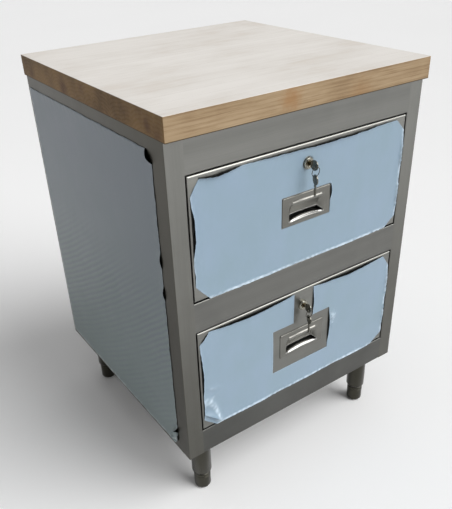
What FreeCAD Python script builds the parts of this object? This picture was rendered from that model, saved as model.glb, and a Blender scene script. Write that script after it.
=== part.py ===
import FreeCAD, Part
import math
import os

# Two-drawer reagent cabinet: a folded steel body on four levelling legs, a solid maple top, and two
# inset drawers with cup pulls, cam locks and full-extension slides. Millimetres, +X right, -Y front, +Z up.
# Everything is laid out with the front plane of the body at y = 0 and is moved once, at export, so that
# the origin lies on the floor under the middle of the whole cabinet.

V = FreeCAD.Vector

# ---- worktop and body -------------------------------------------------------------------------------
overall_height = 889.0
top_width = 610.0
top_depth = 610.0
top_thickness = 43.0
top_edge_radius = 1.0
side_overhang = 2.5
front_overhang = 10.2
back_overhang = 6.3
leg_height = 153.0
sheet = 1.2
bend_radius = 2.0
panel_flange = 24.0
pan_flange = 20.0
fit = 0.05                      # radial clearance of a screw, stem or plug in its hole

# ---- front frame ------------------------------------------------------------------------------------
post_width = 36.0
post_depth = 38.0
top_rail_height = 64.0
middle_rail_height = 65.5
bottom_rail_height = 62.5
return_overlap = 8.0            # a rail's return runs this far past the back of a closed drawer front

# ---- top channels and fasteners ---------------------------------------------------------------------
channel_width = 40.0
channel_depth = 20.0
channel_inset = 14.0            # front channel behind the post, rear channel before the back panel
wood_screw_radius = 2.5
wood_screw_head_radius = 5.0
wood_screw_head_height = 3.0
wood_screw_bite = 24.0
top_screw_inner_x = 90.0
top_screw_outer_x = 241.0
machine_screw_radius = 2.0
machine_screw_head_radius = 4.0
machine_screw_head_height = 2.2
machine_screw_length = 8.0
back_screw_end_inset = 40.0

# ---- legs -------------------------------------------------------------------------------------------
leg_side_inset = 56.8
leg_front_inset = 50.6
leg_flange_radius = 45.0
leg_flange_thickness = 4.0
leg_bolt_circle_radius = 33.0
leg_bolt_radius = 3.0
leg_bolt_head_radius = 5.0
leg_bolt_head_height = 4.0
leg_bolt_thread_past_pan = 7.0
leg_nut_height = 5.0
leg_tube_radius = 22.5
leg_tube_wall = 2.0
foot_radius = 19.2
foot_height = 44.0
foot_edge_radius = 6.0
foot_gap = 0.3
collar_height = 6.0
insert_length = 25.0
stem_radius = 8.0
stem_length = 46.0

# ---- slides -----------------------------------------------------------------------------------------
slide_thickness = 12.7
slide_height = 45.0
slide_running_gap = 0.4
slide_tuck = 1.5                # the outer and middle members stop this far short of the next web
slide_front_gap = 2.0
slide_inset_from_tray_end = 18.0
slide_lift = 60.0               # slide's middle above the tray's underside
bumper_length = 8.0
bumper_height = 24.0
upright_width = 40.0
upright_gap = 3.0
rear_upright_inset = 20.0

# ---- drawers ----------------------------------------------------------------------------------------
drawer_gap = 2.5
drawer_bend_radius = 4.0
front_depth = 20.0
front_lip = 25.0
tray_floor_gap = 12.0
tray_top_gap = 20.0
space_behind_tray = 51.1
tray_hem = 6.0
tray_screw_rise = 8.0
tray_upper_screw_drop = 30.0

# ---- cup pull ---------------------------------------------------------------------------------------
pull_width = 122.0
pull_height = 61.0
pull_drop = 129.5               # middle of the pull below the top of the opening
pull_thickness = 2.0
pull_corner_radius = 3.0
pull_edge_bevel = 0.8
cup_width = 90.0
cup_top = 15.0                  # above the middle of the pull
cup_bottom = 19.0               # below the middle of the pull, at the cup's two ends
lip_rise = 4.5
ridge_length = 78.0
ridge_radius = 4.0
ridge_stand = 2.6
slope_depth = 9.0
slope_bottom = 3.0
slope_arch = 5.0
pocket_depth = 16.0
pocket_below_lip = 7.0
pocket_hole_gap = 0.3
stud_offset = 53.5
stud_length = 8.0
nut_height = 3.2
nut_flats = 7.0

# ---- cam lock, keys and ring ------------------------------------------------------------------------
lock_drop = 42.0                # lock's axis below the top of the opening
bezel_radius = 11.2
bezel_length = 5.0
bezel_edge_radius = 1.6
barrel_radius = 9.5
lock_nut_flats = 24.0
lock_nut_height = 4.0
plug_radius = 5.5
plug_recess = 0.5
plug_past_barrel = 1.0
cam_gap_behind_return = 3.0
cam_thickness = 2.0
cam_width = 16.0
cam_length = 54.0
cam_square = 7.0
cam_screw_radius = 2.0
cam_screw_head_radius = 5.0
cam_screw_head_height = 3.0
cam_screw_length = 12.0
key_length = 43.5
key_thickness = 1.8
key_bow_radius = 10.0
key_blade_width = 6.6
key_blade_point = 3.0
key_cut_depth = 1.3
key_cut_pitch = 3.2
key_cut_count = 5
key_inserted = 20.0
key_hole_radius = 2.6
key_hole_inset = 5.5
key_slot_clearance = 0.1
ring_radius = 9.7
ring_wire_radius = 0.8
ring_gap = 0.3
ring_yaw = 4.0
spare_yaw = 16.0                # the spare key hangs turned this much from the key in the lock

# ---- protective film --------------------------------------------------------------------------------
film_thickness = 0.3
film_top_margin = 9.0
film_side_margin = 4.0
film_bottom_margin = 1.0
film_corner_cut = 22.0
film_hole_gap = 1.0
slot_half_width = 27.0
patch_half_width = 81.0
patch_above_pull = 51.5
patch_below_pull = 57.5
side_film_front = 41.0
side_film_back = 3.0
side_film_top = 24.0
side_film_bottom = 7.0
side_film_corner_cut = 18.0

# ---- places worked out from the sizes ---------------------------------------------------------------
body_half = top_width / 2 - side_overhang
body_depth = top_depth - front_overhang - back_overhang
body_bottom = leg_height
body_top = overall_height - top_thickness
opening_half = body_half - post_width
rails_height = top_rail_height + middle_rail_height + bottom_rail_height
opening_height = (body_top - body_bottom - rails_height) / 2
lower_opening = body_bottom + bottom_rail_height
middle_rail_bottom = lower_opening + opening_height
upper_opening = middle_rail_bottom + middle_rail_height
top_rail_bottom = upper_opening + opening_height
inner_half = body_half - sheet
return_depth = front_depth + return_overlap
back_panel_front = body_depth - 2 * sheet
channel_bottom = body_top - channel_depth
front_channel_y = post_depth + channel_inset
rear_channel_y = back_panel_front - channel_inset - channel_width
leg_rear_y = body_depth - leg_front_inset
leg_x = body_half - leg_side_inset
flange_bottom = body_bottom - leg_flange_thickness
tube_bottom = foot_height + foot_gap + collar_height

tray_half = opening_half - slide_thickness
tray_depth = back_panel_front - space_behind_tray - front_depth
slide_front = front_depth + slide_front_gap
slide_length = tray_depth - slide_front_gap - slide_inset_from_tray_end
slide_end = slide_front + slide_length
outer_reach = slide_thickness - 2 * slide_tuck - slide_running_gap
front_half = opening_half - drawer_gap

cam_front = return_depth + cam_gap_behind_return
barrel_end = cam_front - plug_past_barrel
plug_front = -bezel_length + plug_recess
key_tip_y = plug_front + key_inserted
key_end_y = key_tip_y - key_length
key_hole_y = key_end_y + key_hole_inset
hang = key_hole_radius - ring_wire_radius - ring_gap

spare_turn = math.radians(spare_yaw)
spare_half_depth = key_bow_radius * math.cos(spare_turn) + key_thickness / 2 * math.sin(spare_turn)
frontmost = key_hole_y - spare_half_depth
rearmost = top_depth - front_overhang
move_to_origin = V(0, -(frontmost + rearmost) / 2, 0)
tiny = 1e-6


# ---- shape helpers ----------------------------------------------------------------------------------
def span(first, second):
    return (min(first, second), max(first, second))


def box(x_span, y_span, z_span):
    lengths = [high - low for low, high in (x_span, y_span, z_span)]
    return Part.makeBox(*lengths, V(x_span[0], y_span[0], z_span[0]))


def rod(radius, start, end):
    axis = V(*end) - V(*start)
    return Part.makeCylinder(radius, axis.Length, V(*start), axis)


def sawn(points, thickness_vector):
    """A flat plate: the closed outline through the points, pushed along one vector."""
    corners = [V(*point) for point in points]
    outline = Part.makePolygon(corners + corners[:1])
    return Part.Face(outline).extrude(V(*thickness_vector))


def round_edges(shape, radius, wanted):
    return shape.makeFillet(radius, [edge for edge in shape.Edges if wanted(edge.BoundBox)])


def screw(seat, direction, shank_radius, shank_length, head_radius, head_height):
    """A domed screw: the head stands back from its seat, the shank runs on along the direction."""
    axis = V(*direction)
    seat = V(*seat)
    head = Part.makeCylinder(head_radius, head_height, seat - axis * head_height, axis)
    dome = max(head.Edges, key=lambda edge: -(edge.BoundBox.Center - seat).dot(axis) + edge.Length * tiny)
    head = head.makeFillet(head_height / 2, [dome])
    return head.fuse(Part.makeCylinder(shank_radius, shank_length, seat, axis))


def hex_prism(flats, centre, direction, height):
    """A hexagon of the given width across flats, standing on its centre along the direction."""
    axis = V(*direction)
    sides = 6
    corner_radius = flats / 2 / math.cos(math.pi / sides)
    across = V(1, 0, 0)
    other = axis.cross(across)
    corners = []
    for step in range(sides):
        angle = 2 * math.pi * (step + 0.5) / sides
        corners.append(V(*centre) + (across * math.cos(angle) + other * math.sin(angle)) * corner_radius)
    outline = Part.makePolygon(corners + corners[:1])
    return Part.Face(outline).extrude(axis * height)


def save(name, shapes):
    """Write one node: a single solid, or a group of separate ones."""
    shapes = shapes if isinstance(shapes, list) else [shapes]
    solids = [solid for shape in shapes for solid in shape.Solids]
    node = solids[0] if len(solids) == 1 else Part.makeCompound(solids)
    node.translate(move_to_origin)
    node.exportStep("parts/" + name + ".step")


# ---- worktop ----------------------------------------------------------------------------------------
def top_screw_places():
    for y in (front_channel_y, rear_channel_y):
        for x in (-top_screw_outer_x, -top_screw_inner_x, top_screw_inner_x, top_screw_outer_x):
            yield x, y + channel_width / 2


def maple_top():
    slab = box((-top_width / 2, top_width / 2), (-front_overhang, rearmost), (body_top, overall_height))
    slab = slab.makeFillet(top_edge_radius, slab.Edges)
    for x, y in top_screw_places():
        bore_top = body_top + wood_screw_bite + fit
        slab = slab.cut(rod(wood_screw_radius + fit, (x, y, body_top), (x, y, bore_top)))
    return slab


def top_screws():
    seat_z = body_top - sheet
    reach = wood_screw_bite + sheet
    return [screw((x, y, seat_z), (0, 0, 1), wood_screw_radius, reach, wood_screw_head_radius,
                  wood_screw_head_height) for x, y in top_screw_places()]


def top_channels():
    channels = []
    for y in (front_channel_y, rear_channel_y):
        block = box((-inner_half, inner_half), (y, y + channel_width), (channel_bottom, body_top))
        hollow = box((-inner_half, inner_half), (y + sheet, y + channel_width - sheet),
                     (channel_bottom, body_top - sheet))
        channels.append(block.cut(hollow))
    holes = [rod(wood_screw_radius + fit, (x, y, channel_bottom), (x, y, body_top))
             for x, y in top_screw_places()]
    return [channel.cut(holes) for channel in channels]


# ---- body shell -------------------------------------------------------------------------------------
def back_screw_places():
    low = body_bottom + back_screw_end_inset
    high = body_top - back_screw_end_inset
    for side in (-1, 1):
        for share in (0, 1 / 3, 2 / 3, 1):
            yield side * (body_half - panel_flange / 2), low + share * (high - low)


def back_screw_holes():
    return [rod(machine_screw_radius + fit, (x, back_panel_front - sheet, z), (x, body_depth + sheet, z))
            for x, z in back_screw_places()]


def back_screws():
    return [screw((x, body_depth, z), (0, -1, 0), machine_screw_radius, machine_screw_length,
                  machine_screw_head_radius, machine_screw_head_height) for x, z in back_screw_places()]


def side_panel(side):
    height = (body_bottom, body_top)
    block = box(span(side * (body_half - panel_flange), side * body_half), (post_depth, body_depth), height)
    hollow = box(span(side * (body_half - panel_flange), side * inner_half),
                 (post_depth + sheet, body_depth - sheet), height)
    foot_relief = box(span(side * (body_half - panel_flange), side * inner_half),
                      (post_depth, body_depth), (body_bottom, body_bottom + pan_flange))
    return block.cut([hollow, foot_relief] + back_screw_holes())


def back_panel():
    panel = box((-inner_half, inner_half), (back_panel_front, body_depth - sheet), (body_bottom, body_top))
    return panel.cut(back_screw_holes())


def base_pan():
    rear_flange_y = back_panel_front - sheet
    pan = box((-inner_half, inner_half), (return_depth, back_panel_front), (body_bottom, body_bottom + sheet))
    pan = pan.fuse(box((-inner_half, inner_half), (rear_flange_y, back_panel_front),
                       (body_bottom, body_bottom + pan_flange)))
    for side in (-1, 1):
        wall = box(span(side * (inner_half - sheet), side * inner_half),
                   (post_depth + sheet, back_panel_front), (body_bottom, body_bottom + pan_flange))
        pan = pan.fuse(wall)
    return pan.cut(leg_bolt_holes()).removeSplitter()


def opening_bend(side, opening):
    """What a post's bend beside one opening takes off its square corner: the rails butt on flat elsewhere."""
    height = (opening, opening + opening_height)
    corner = box(span(side * opening_half, side * (opening_half + bend_radius)), (0, bend_radius), height)
    middle = (side * (opening_half + bend_radius), bend_radius)
    return corner.cut(rod(bend_radius, middle + height[:1], middle + height[1:]))


def front_post(side):
    height = (body_bottom, body_top)
    block = box(span(side * opening_half, side * body_half), (0, post_depth), height)
    block = round_edges(block, bend_radius, lambda edge: edge.YMax < tiny
                        and min(abs(edge.XMin), abs(edge.XMax)) > body_half - tiny)
    block = block.cut([opening_bend(side, lower_opening), opening_bend(side, upper_opening)])
    hollow = box(span(side * (opening_half + sheet), side * inner_half), (sheet, post_depth), height)
    short_return = box(span(side * opening_half, side * (opening_half + sheet)),
                       (return_depth, post_depth), height)
    return block.cut([hollow, short_return])


def rail(bottom, height):
    top = bottom + height
    block = box((-opening_half, opening_half), (0, return_depth), (bottom, top))
    block = round_edges(block, bend_radius, lambda edge: edge.YMax < tiny and edge.XLength > opening_half)
    hollow = box((-opening_half, opening_half), (sheet, return_depth), (bottom + sheet, top - sheet))
    return block.cut([hollow] + leg_bolt_holes())


# ---- legs and levelling feet ------------------------------------------------------------------------
def leg_places():
    for name_y, y in (("front", leg_front_inset), ("rear", leg_rear_y)):
        for name_x, x in (("left", -leg_x), ("right", leg_x)):
            yield name_y + "_" + name_x, x, y


def leg_bolt_places():
    for name, x, y in leg_places():
        for step in range(4):
            angle = math.radians(90 * step)
            yield x + leg_bolt_circle_radius * math.cos(angle), y + leg_bolt_circle_radius * math.sin(angle)


def leg_bolt_holes():
    return [rod(leg_bolt_radius + fit, (x, y, flange_bottom - 1), (x, y, body_bottom + 2 * sheet))
            for x, y in leg_bolt_places()]


def leg_tubes():
    legs = []
    for name, x, y in leg_places():
        flange = rod(leg_flange_radius, (x, y, flange_bottom), (x, y, body_bottom))
        tube = rod(leg_tube_radius, (x, y, tube_bottom), (x, y, body_bottom))
        bore = rod(leg_tube_radius - leg_tube_wall, (x, y, tube_bottom), (x, y, flange_bottom))
        legs.append(flange.fuse(tube).cut([bore] + leg_bolt_holes()))
    return legs


def leg_inserts():
    """Plugs in the tubes' ends, threaded for the stems, with a tapered collar that the feet close on."""
    inserts = []
    collar_bottom = foot_height + foot_gap
    for name, x, y in leg_places():
        plug_top = tube_bottom + insert_length
        plug = rod(leg_tube_radius - leg_tube_wall - fit, (x, y, tube_bottom), (x, y, plug_top))
        collar = Part.makeCone(foot_radius, leg_tube_radius, collar_height, V(x, y, collar_bottom))
        bore = rod(stem_radius + fit, (x, y, collar_bottom), (x, y, plug_top))
        inserts.append(plug.fuse(collar).cut(bore))
    return inserts


def foot(x, y):
    body = rod(foot_radius, (x, y, 0), (x, y, foot_height))
    body = round_edges(body, foot_edge_radius, lambda edge: edge.ZMax < tiny)
    return body.fuse(rod(stem_radius, (x, y, foot_height), (x, y, foot_height + stem_length)))


def leg_bolts():
    """Hex bolts up through each flange and the pan, with their nuts inside."""
    pieces = []
    nut_seat = body_bottom + sheet
    for x, y in leg_bolt_places():
        head = hex_prism(2 * leg_bolt_head_radius, (x, y, flange_bottom - leg_bolt_head_height), (0, 0, 1),
                         leg_bolt_head_height)
        shank = rod(leg_bolt_radius, (x, y, flange_bottom), (x, y, nut_seat + leg_bolt_thread_past_pan))
        nut = hex_prism(2 * leg_bolt_head_radius, (x, y, nut_seat), (0, 0, 1), leg_nut_height)
        hole = rod(leg_bolt_radius + fit, (x, y, nut_seat), (x, y, nut_seat + leg_nut_height))
        pieces += [head.fuse(shank), nut.cut(hole)]
    return pieces


# ---- drawer slides ----------------------------------------------------------------------------------
def slide_height_of(opening):
    return opening + tray_floor_gap + slide_lift


def slide_channel(side, near, far, half_height, y_span, middle_z):
    """A C-section whose web starts at `near` and whose flanges reach `far`, both counted inwards
    from the edge of the opening."""
    wall = sheet if far > near else -sheet
    block = box(span(side * (opening_half - near), side * (opening_half - far)), y_span,
                (middle_z - half_height, middle_z + half_height))
    hollow = box(span(side * (opening_half - near - wall), side * (opening_half - far)), y_span,
                 (middle_z - half_height + sheet, middle_z + half_height - sheet))
    return block.cut(hollow)


def slide_screw_places():
    for opening in (lower_opening, upper_opening):
        for y in (front_upright_y, rear_upright_y):
            yield y + upright_width / 2, slide_height_of(opening)


front_upright_y = post_depth + sheet + upright_gap
rear_upright_y = slide_end - rear_upright_inset - upright_width
middle_half_height = slide_height / 2 - sheet - slide_running_gap
inner_half_height = middle_half_height - sheet - slide_running_gap
middle_near = sheet + slide_running_gap
middle_far = slide_thickness - sheet - slide_running_gap
inner_far = middle_near + sheet + slide_running_gap


def slide_screw_holes():
    return [rod(machine_screw_radius + fit, (-body_half, y, z), (body_half, y, z))
            for y, z in slide_screw_places()]


def slide_outers():
    reach = (slide_front, slide_end + bumper_length)
    members = [slide_channel(side, 0, outer_reach, slide_height / 2, reach, slide_height_of(opening))
               for opening in (lower_opening, upper_opening) for side in (-1, 1)]
    return [member.cut(slide_screw_holes()) for member in members]


def slide_middles(opening):
    return [slide_channel(side, middle_near, middle_far, middle_half_height, (slide_front, slide_end),
                          slide_height_of(opening)) for side in (-1, 1)]


def slide_inners(opening):
    return [slide_channel(side, slide_thickness, inner_far, inner_half_height, (slide_front, slide_end),
                          slide_height_of(opening)) for side in (-1, 1)]


def slide_uprights():
    uprights = []
    height = (body_bottom + pan_flange, channel_bottom)
    for side in (-1, 1):
        for y in (front_upright_y, rear_upright_y):
            block = box(span(side * opening_half, side * inner_half), (y, y + upright_width), height)
            hollow = box(span(side * (opening_half + sheet), side * inner_half),
                         (y + sheet, y + upright_width - sheet), height)
            uprights.append(block.cut([hollow] + slide_screw_holes()))
    return uprights


def slide_screws():
    screws = []
    for side in (-1, 1):
        for y, z in slide_screw_places():
            screws.append(screw((side * (opening_half + sheet), y, z), (-side, 0, 0), machine_screw_radius,
                                2 * sheet, machine_screw_head_radius, machine_screw_head_height))
    return screws


def rear_bumpers():
    """Rubber stops at the back of the outer members, which the closed drawers rest against."""
    bumpers = []
    for opening in (lower_opening, upper_opening):
        middle_z = slide_height_of(opening)
        for side in (-1, 1):
            bumpers.append(box(span(side * (opening_half - sheet), side * tray_half),
                               (slide_end, slide_end + bumper_length),
                               (middle_z - bumper_height / 2, middle_z + bumper_height / 2)))
    return bumpers


# ---- drawers ----------------------------------------------------------------------------------------
def tray_screw_places(opening):
    x = (front_half - front_lip + tray_half) / 2
    for z in (opening + tray_floor_gap + tray_screw_rise, opening + opening_height - tray_top_gap
              - tray_upper_screw_drop):
        for side in (-1, 1):
            yield side * x, z


def tray_screw_holes(opening):
    return [rod(machine_screw_radius + fit, (x, front_depth - machine_screw_length, z),
                (x, front_depth + sheet, z)) for x, z in tray_screw_places(opening)]


def barrel_hole(opening):
    z = lock_height(opening)
    return rod(barrel_radius + fit, (0, 0, z), (0, front_depth + sheet, z))


def drawer_front(opening):
    low = opening + drawer_gap
    high = opening + opening_height - drawer_gap
    front = box((-front_half, front_half), (0, front_depth), (low, high))
    front = round_edges(front, drawer_bend_radius, lambda edge: edge.YMax < tiny)
    hollow = box((sheet - front_half, front_half - sheet), (sheet, front_depth - sheet),
                 (low + sheet, high - sheet))
    hollow = round_edges(hollow, drawer_bend_radius - sheet, lambda edge: edge.YMax < sheet + tiny)
    window = box((front_lip - front_half, front_half - front_lip), (sheet, front_depth),
                 (low + front_lip, high - front_lip))
    return front.cut([hollow, window, barrel_hole(opening), pocket_hole(opening)]
                     + tray_screw_holes(opening) + stud_holes(opening))


def tray(opening):
    """Five sheets, welded along their edges: floor, two hemmed sides, front end and back end."""
    low = opening + tray_floor_gap
    wall_low = low + sheet
    high = opening + opening_height - tray_top_gap
    back = front_depth + tray_depth
    inner = tray_half - sheet
    sheets = [box((-tray_half, tray_half), (front_depth, back), (low, wall_low))]
    for side in (-1, 1):
        wall = box(span(side * inner, side * tray_half), (front_depth, back), (wall_low, high))
        hem = box(span(side * tray_half, side * (tray_half + tray_hem)), (front_depth, back),
                  (high - sheet, high))
        sheets.append(wall.fuse(hem).removeSplitter())
    front_end = box((-inner, inner), (front_depth, front_depth + sheet), (wall_low, high))
    sheets.append(front_end.cut([barrel_hole(opening)] + tray_screw_holes(opening)))
    sheets.append(box((-inner, inner), (back - sheet, back), (wall_low, high)))
    return sheets


def tray_screws(opening):
    return [screw((x, front_depth + sheet, z), (0, -1, 0), machine_screw_radius, machine_screw_length,
                  machine_screw_head_radius, machine_screw_head_height)
            for x, z in tray_screw_places(opening)]


# ---- cup pull ---------------------------------------------------------------------------------------
def pull_middle(opening):
    return opening + opening_height - pull_drop


def pocket_span(opening, wall):
    """Cup's outside in x and z, grown by `wall` all round."""
    middle = pull_middle(opening)
    half = cup_width / 2 + wall
    return (-half, half), (middle - cup_bottom - pocket_below_lip - wall, middle + cup_top + wall)


def pocket_hole(opening):
    x_span, z_span = pocket_span(opening, sheet + pocket_hole_gap)
    return box(x_span, (0, sheet), z_span)


def stud_holes(opening):
    z = pull_middle(opening)
    return [rod(machine_screw_radius + fit, (x, 0, z), (x, sheet, z)) for x in (-stud_offset, stud_offset)]


def pull_plate(opening):
    middle = pull_middle(opening)
    plate = box((-pull_width / 2, pull_width / 2), (-pull_thickness, 0),
                (middle - pull_height / 2, middle + pull_height / 2))
    plate = round_edges(plate, pull_corner_radius, lambda edge: edge.YLength > tiny)
    plate = plate.makeChamfer(pull_edge_bevel, [edge for edge in plate.Edges
                                                if edge.BoundBox.YMax < tiny - pull_thickness])
    plate = plate.cut(cup_mouth(middle))
    plate = plate.fuse([slope_panel(middle), ridge(middle)])
    for x in (-stud_offset, stud_offset):
        plate = plate.fuse(rod(machine_screw_radius, (x, -sheet, middle), (x, stud_length, middle)))
    return plate.removeSplitter()


def cup_mouth(middle):
    """The hole in the plate: straight above, with the finger lip arched up into it from below."""
    half = cup_width / 2
    low = middle - cup_bottom
    ends = [V(-half, 0, low), V(half, 0, low)]
    lip = Part.Arc(ends[0], V(0, 0, low + lip_rise), ends[1]).toShape()
    high = middle + cup_top
    rest = Part.makePolygon([ends[1], V(half, 0, high), V(-half, 0, high), ends[0]])
    outline = Part.Wire([lip] + rest.Edges)
    return Part.Face(outline).extrude(V(0, -pull_thickness, 0))


def slope_panel(middle):
    """The sheet that leans in from the top of the mouth to its arched lower edge."""
    half = cup_width / 2
    top_z = middle + cup_top
    low_z = middle - slope_bottom - slope_arch
    lean = (slope_depth + pull_thickness) / (cup_top + slope_bottom)
    low_y = -pull_thickness + lean * (top_z - low_z)
    panel = sawn([(-half, -pull_thickness, top_z), (-half, 0, top_z), (-half, low_y + sheet, low_z),
                  (-half, low_y, low_z)], (cup_width, 0, 0))
    arch = Part.Arc(V(-half, 0, low_z), V(0, 0, middle - slope_bottom), V(half, 0, low_z)).toShape()
    chord = Part.makeLine(V(half, 0, low_z), V(-half, 0, low_z))
    bite = Part.Face(Part.Wire([arch, chord])).extrude(V(0, pocket_depth, 0))
    return panel.cut(bite)


def ridge(middle):
    """The bead across the top of the cup."""
    z = middle + cup_top
    bead = rod(ridge_radius, (-ridge_length / 2, 0, z), (ridge_length / 2, 0, z))
    bead.translate(V(0, ridge_radius - pull_thickness - ridge_stand, 0))
    bead = round_edges(bead, ridge_radius / 2, lambda edge: edge.XLength < tiny)
    keep = box((-pull_width / 2, pull_width / 2), (-pull_thickness - ridge_stand, -pull_thickness / 2),
               (z - pull_thickness, z + 2 * ridge_radius))
    return bead.common(keep)


def pull_pocket(opening):
    x_out, z_out = pocket_span(opening, sheet)
    x_in, z_in = pocket_span(opening, 0)
    return box(x_out, (0, pocket_depth + sheet), z_out).cut(box(x_in, (0, pocket_depth), z_in))


def pull_nuts(opening):
    z = pull_middle(opening)
    return [hex_prism(nut_flats, (x, sheet, z), (0, 1, 0), nut_height).cut(
        rod(machine_screw_radius + fit, (x, sheet, z), (x, sheet + nut_height, z)))
        for x in (-stud_offset, stud_offset)]


# ---- cam lock ---------------------------------------------------------------------------------------
def lock_height(opening):
    return opening + opening_height - lock_drop


def lock_housing(opening):
    z = lock_height(opening)
    bezel = rod(bezel_radius, (0, -bezel_length, z), (0, 0, z))
    bezel = round_edges(bezel, bezel_edge_radius, lambda edge: edge.YMax < tiny - bezel_length)
    barrel = rod(barrel_radius, (0, 0, z), (0, barrel_end, z))
    return bezel.fuse(barrel).cut(rod(plug_radius + fit, (0, -bezel_length, z), (0, barrel_end, z)))


def lock_nut(opening):
    z = lock_height(opening)
    seat = front_depth + sheet
    nut = hex_prism(lock_nut_flats, (0, seat, z), (0, 1, 0), lock_nut_height)
    return nut.cut(rod(barrel_radius + fit, (0, seat, z), (0, seat + lock_nut_height, z)))


def lock_plug(opening):
    z = lock_height(opening)
    half = cam_square / 2
    plug = rod(plug_radius, (0, plug_front, z), (0, cam_front, z))
    plug = plug.fuse(box((-half, half), (cam_front, cam_front + cam_thickness - fit), (z - half, z + half)))
    slot_half_x = key_thickness / 2 + key_slot_clearance
    slot_half_z = key_blade_width / 2 + key_slot_clearance
    slot = box((-slot_half_x, slot_half_x), (plug_front, key_tip_y + key_slot_clearance),
               (z - slot_half_z, z + slot_half_z))
    thread = rod(cam_screw_radius + fit, (0, cam_front + cam_thickness - cam_screw_length - fit, z),
                 (0, cam_front + cam_thickness, z))
    return plug.cut([slot, thread])


def lock_cam(opening):
    z = lock_height(opening)
    back = cam_front + cam_thickness
    half = cam_width / 2
    tip_middle = half - cam_length
    cam = rod(half, (0, cam_front, z), (0, back, z))
    cam = cam.fuse(box((tip_middle, 0), (cam_front, back), (z - half, z + half)))
    cam = cam.fuse(rod(half, (tip_middle, cam_front, z), (tip_middle, back, z)))
    hole = cam_square / 2 + fit
    return cam.removeSplitter().cut(box((-hole, hole), (cam_front, back), (z - hole, z + hole)))


def cam_screw(opening):
    z = lock_height(opening)
    return screw((0, cam_front + cam_thickness, z), (0, -1, 0), cam_screw_radius, cam_screw_length,
                 cam_screw_head_radius, cam_screw_head_height)


# ---- keys and ring ----------------------------------------------------------------------------------
def flat_key():
    """A key in the YZ plane: the end of its bow at the origin, its blade along +Y, bitted on top."""
    half = key_thickness / 2
    blade_half = key_blade_width / 2
    bow = rod(key_bow_radius, (-half, key_bow_radius, 0), (half, key_bow_radius, 0))
    point_y = key_length - key_blade_point
    blade = sawn([(-half, key_bow_radius, -blade_half), (-half, point_y, -blade_half), (-half, key_length, 0),
                  (-half, point_y, blade_half), (-half, key_bow_radius, blade_half)], (key_thickness, 0, 0))
    cuts = []
    for step in range(key_cut_count):
        y = point_y - (step + 0.5) * key_cut_pitch
        cuts.append(sawn([(-half, y - key_cut_pitch / 2, blade_half), (-half, y, blade_half - key_cut_depth),
                          (-half, y + key_cut_pitch / 2, blade_half)], (key_thickness, 0, 0)))
    hole = rod(key_hole_radius, (-half, key_hole_inset, 0), (half, key_hole_inset, 0))
    return bow.fuse(blade).removeSplitter().cut(cuts + [hole])


def key(opening):
    shape = flat_key()
    shape.translate(V(0, key_end_y, lock_height(opening)))
    return shape


def ring_top(opening):
    return lock_height(opening) - hang


def key_ring(opening):
    axis_angle = math.radians(ring_yaw)
    normal = V(-math.sin(axis_angle), math.cos(axis_angle), 0)
    centre = V(0, key_hole_y, ring_top(opening) - ring_radius)
    return Part.makeTorus(ring_radius, ring_wire_radius, centre, normal)


def spare_key(opening):
    """Hangs from the bottom of the ring with its blade down."""
    shape = flat_key()
    shape.translate(V(0, -key_hole_inset, 0))
    shape.rotate(V(0, 0, 0), V(1, 0, 0), -90)
    shape.rotate(V(0, 0, 0), V(0, 0, 1), -spare_yaw)
    hole_z = ring_top(opening) - 2 * ring_radius - hang
    shape.translate(V(0, key_hole_y, hole_z))
    return shape


# ---- protective film --------------------------------------------------------------------------------
def cut_corner_outline(low, high, cut):
    """Corners of a rectangle in two coordinates with each corner cut off at 45 degrees."""
    (a_low, b_low), (a_high, b_high) = low, high
    return [(a_low + cut, b_low), (a_high - cut, b_low), (a_high, b_low + cut), (a_high, b_high - cut),
            (a_high - cut, b_high), (a_low + cut, b_high), (a_low, b_high - cut), (a_low, b_low + cut)]


def drawer_film(opening, bare_patch):
    low = (-front_half + film_side_margin, opening + drawer_gap + film_bottom_margin)
    high = (front_half - film_side_margin, opening + opening_height - drawer_gap - film_top_margin)
    outline = [(x, -film_thickness, z) for x, z in cut_corner_outline(low, high, film_corner_cut)]
    film = sawn(outline, (0, film_thickness, 0))
    middle = pull_middle(opening)
    depth = (-film_thickness, 0)
    if bare_patch:
        patch = box((-patch_half_width, patch_half_width), depth,
                    (middle - patch_below_pull, middle + patch_above_pull))
        slot = box((-slot_half_width, slot_half_width), depth, (middle, opening + opening_height))
        return film.cut([patch, slot])
    half_width = pull_width / 2 + film_hole_gap
    half_height = pull_height / 2 + film_hole_gap
    z = lock_height(opening)
    return film.cut([box((-half_width, half_width), depth, (middle - half_height, middle + half_height)),
                     rod(bezel_radius + film_hole_gap, (0, -film_thickness, z), (0, 0, z))])


def side_film(side):
    low = (side_film_front, body_bottom + side_film_bottom)
    high = (body_depth - side_film_back, body_top - side_film_top)
    outline = [(side * body_half, y, z) for y, z in cut_corner_outline(low, high, side_film_corner_cut)]
    return sawn(outline, (side * film_thickness, 0, 0))


# ---- export -----------------------------------------------------------------------------------------
os.makedirs("parts", exist_ok=True)

save("maple_top", maple_top())
save("top_screws", top_screws())
save("top_channels", top_channels())
save("back_panel", back_panel())
save("back_screws", back_screws())
save("base_pan", base_pan())
save("top_rail", rail(top_rail_bottom, top_rail_height))
save("middle_rail", rail(middle_rail_bottom, middle_rail_height))
save("bottom_rail", rail(body_bottom, bottom_rail_height))
save("leg_tubes", leg_tubes())
save("leg_inserts", leg_inserts())
save("leg_bolts", leg_bolts())
save("slide_uprights", slide_uprights())
save("slide_outers", slide_outers())
save("slide_screws", slide_screws())
save("rear_bumpers", rear_bumpers())

for side_name, side_sign in (("left", -1), ("right", 1)):
    save(side_name + "_side_panel", side_panel(side_sign))
    save(side_name + "_front_post", front_post(side_sign))
    save(side_name + "_side_film", side_film(side_sign))

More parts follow.
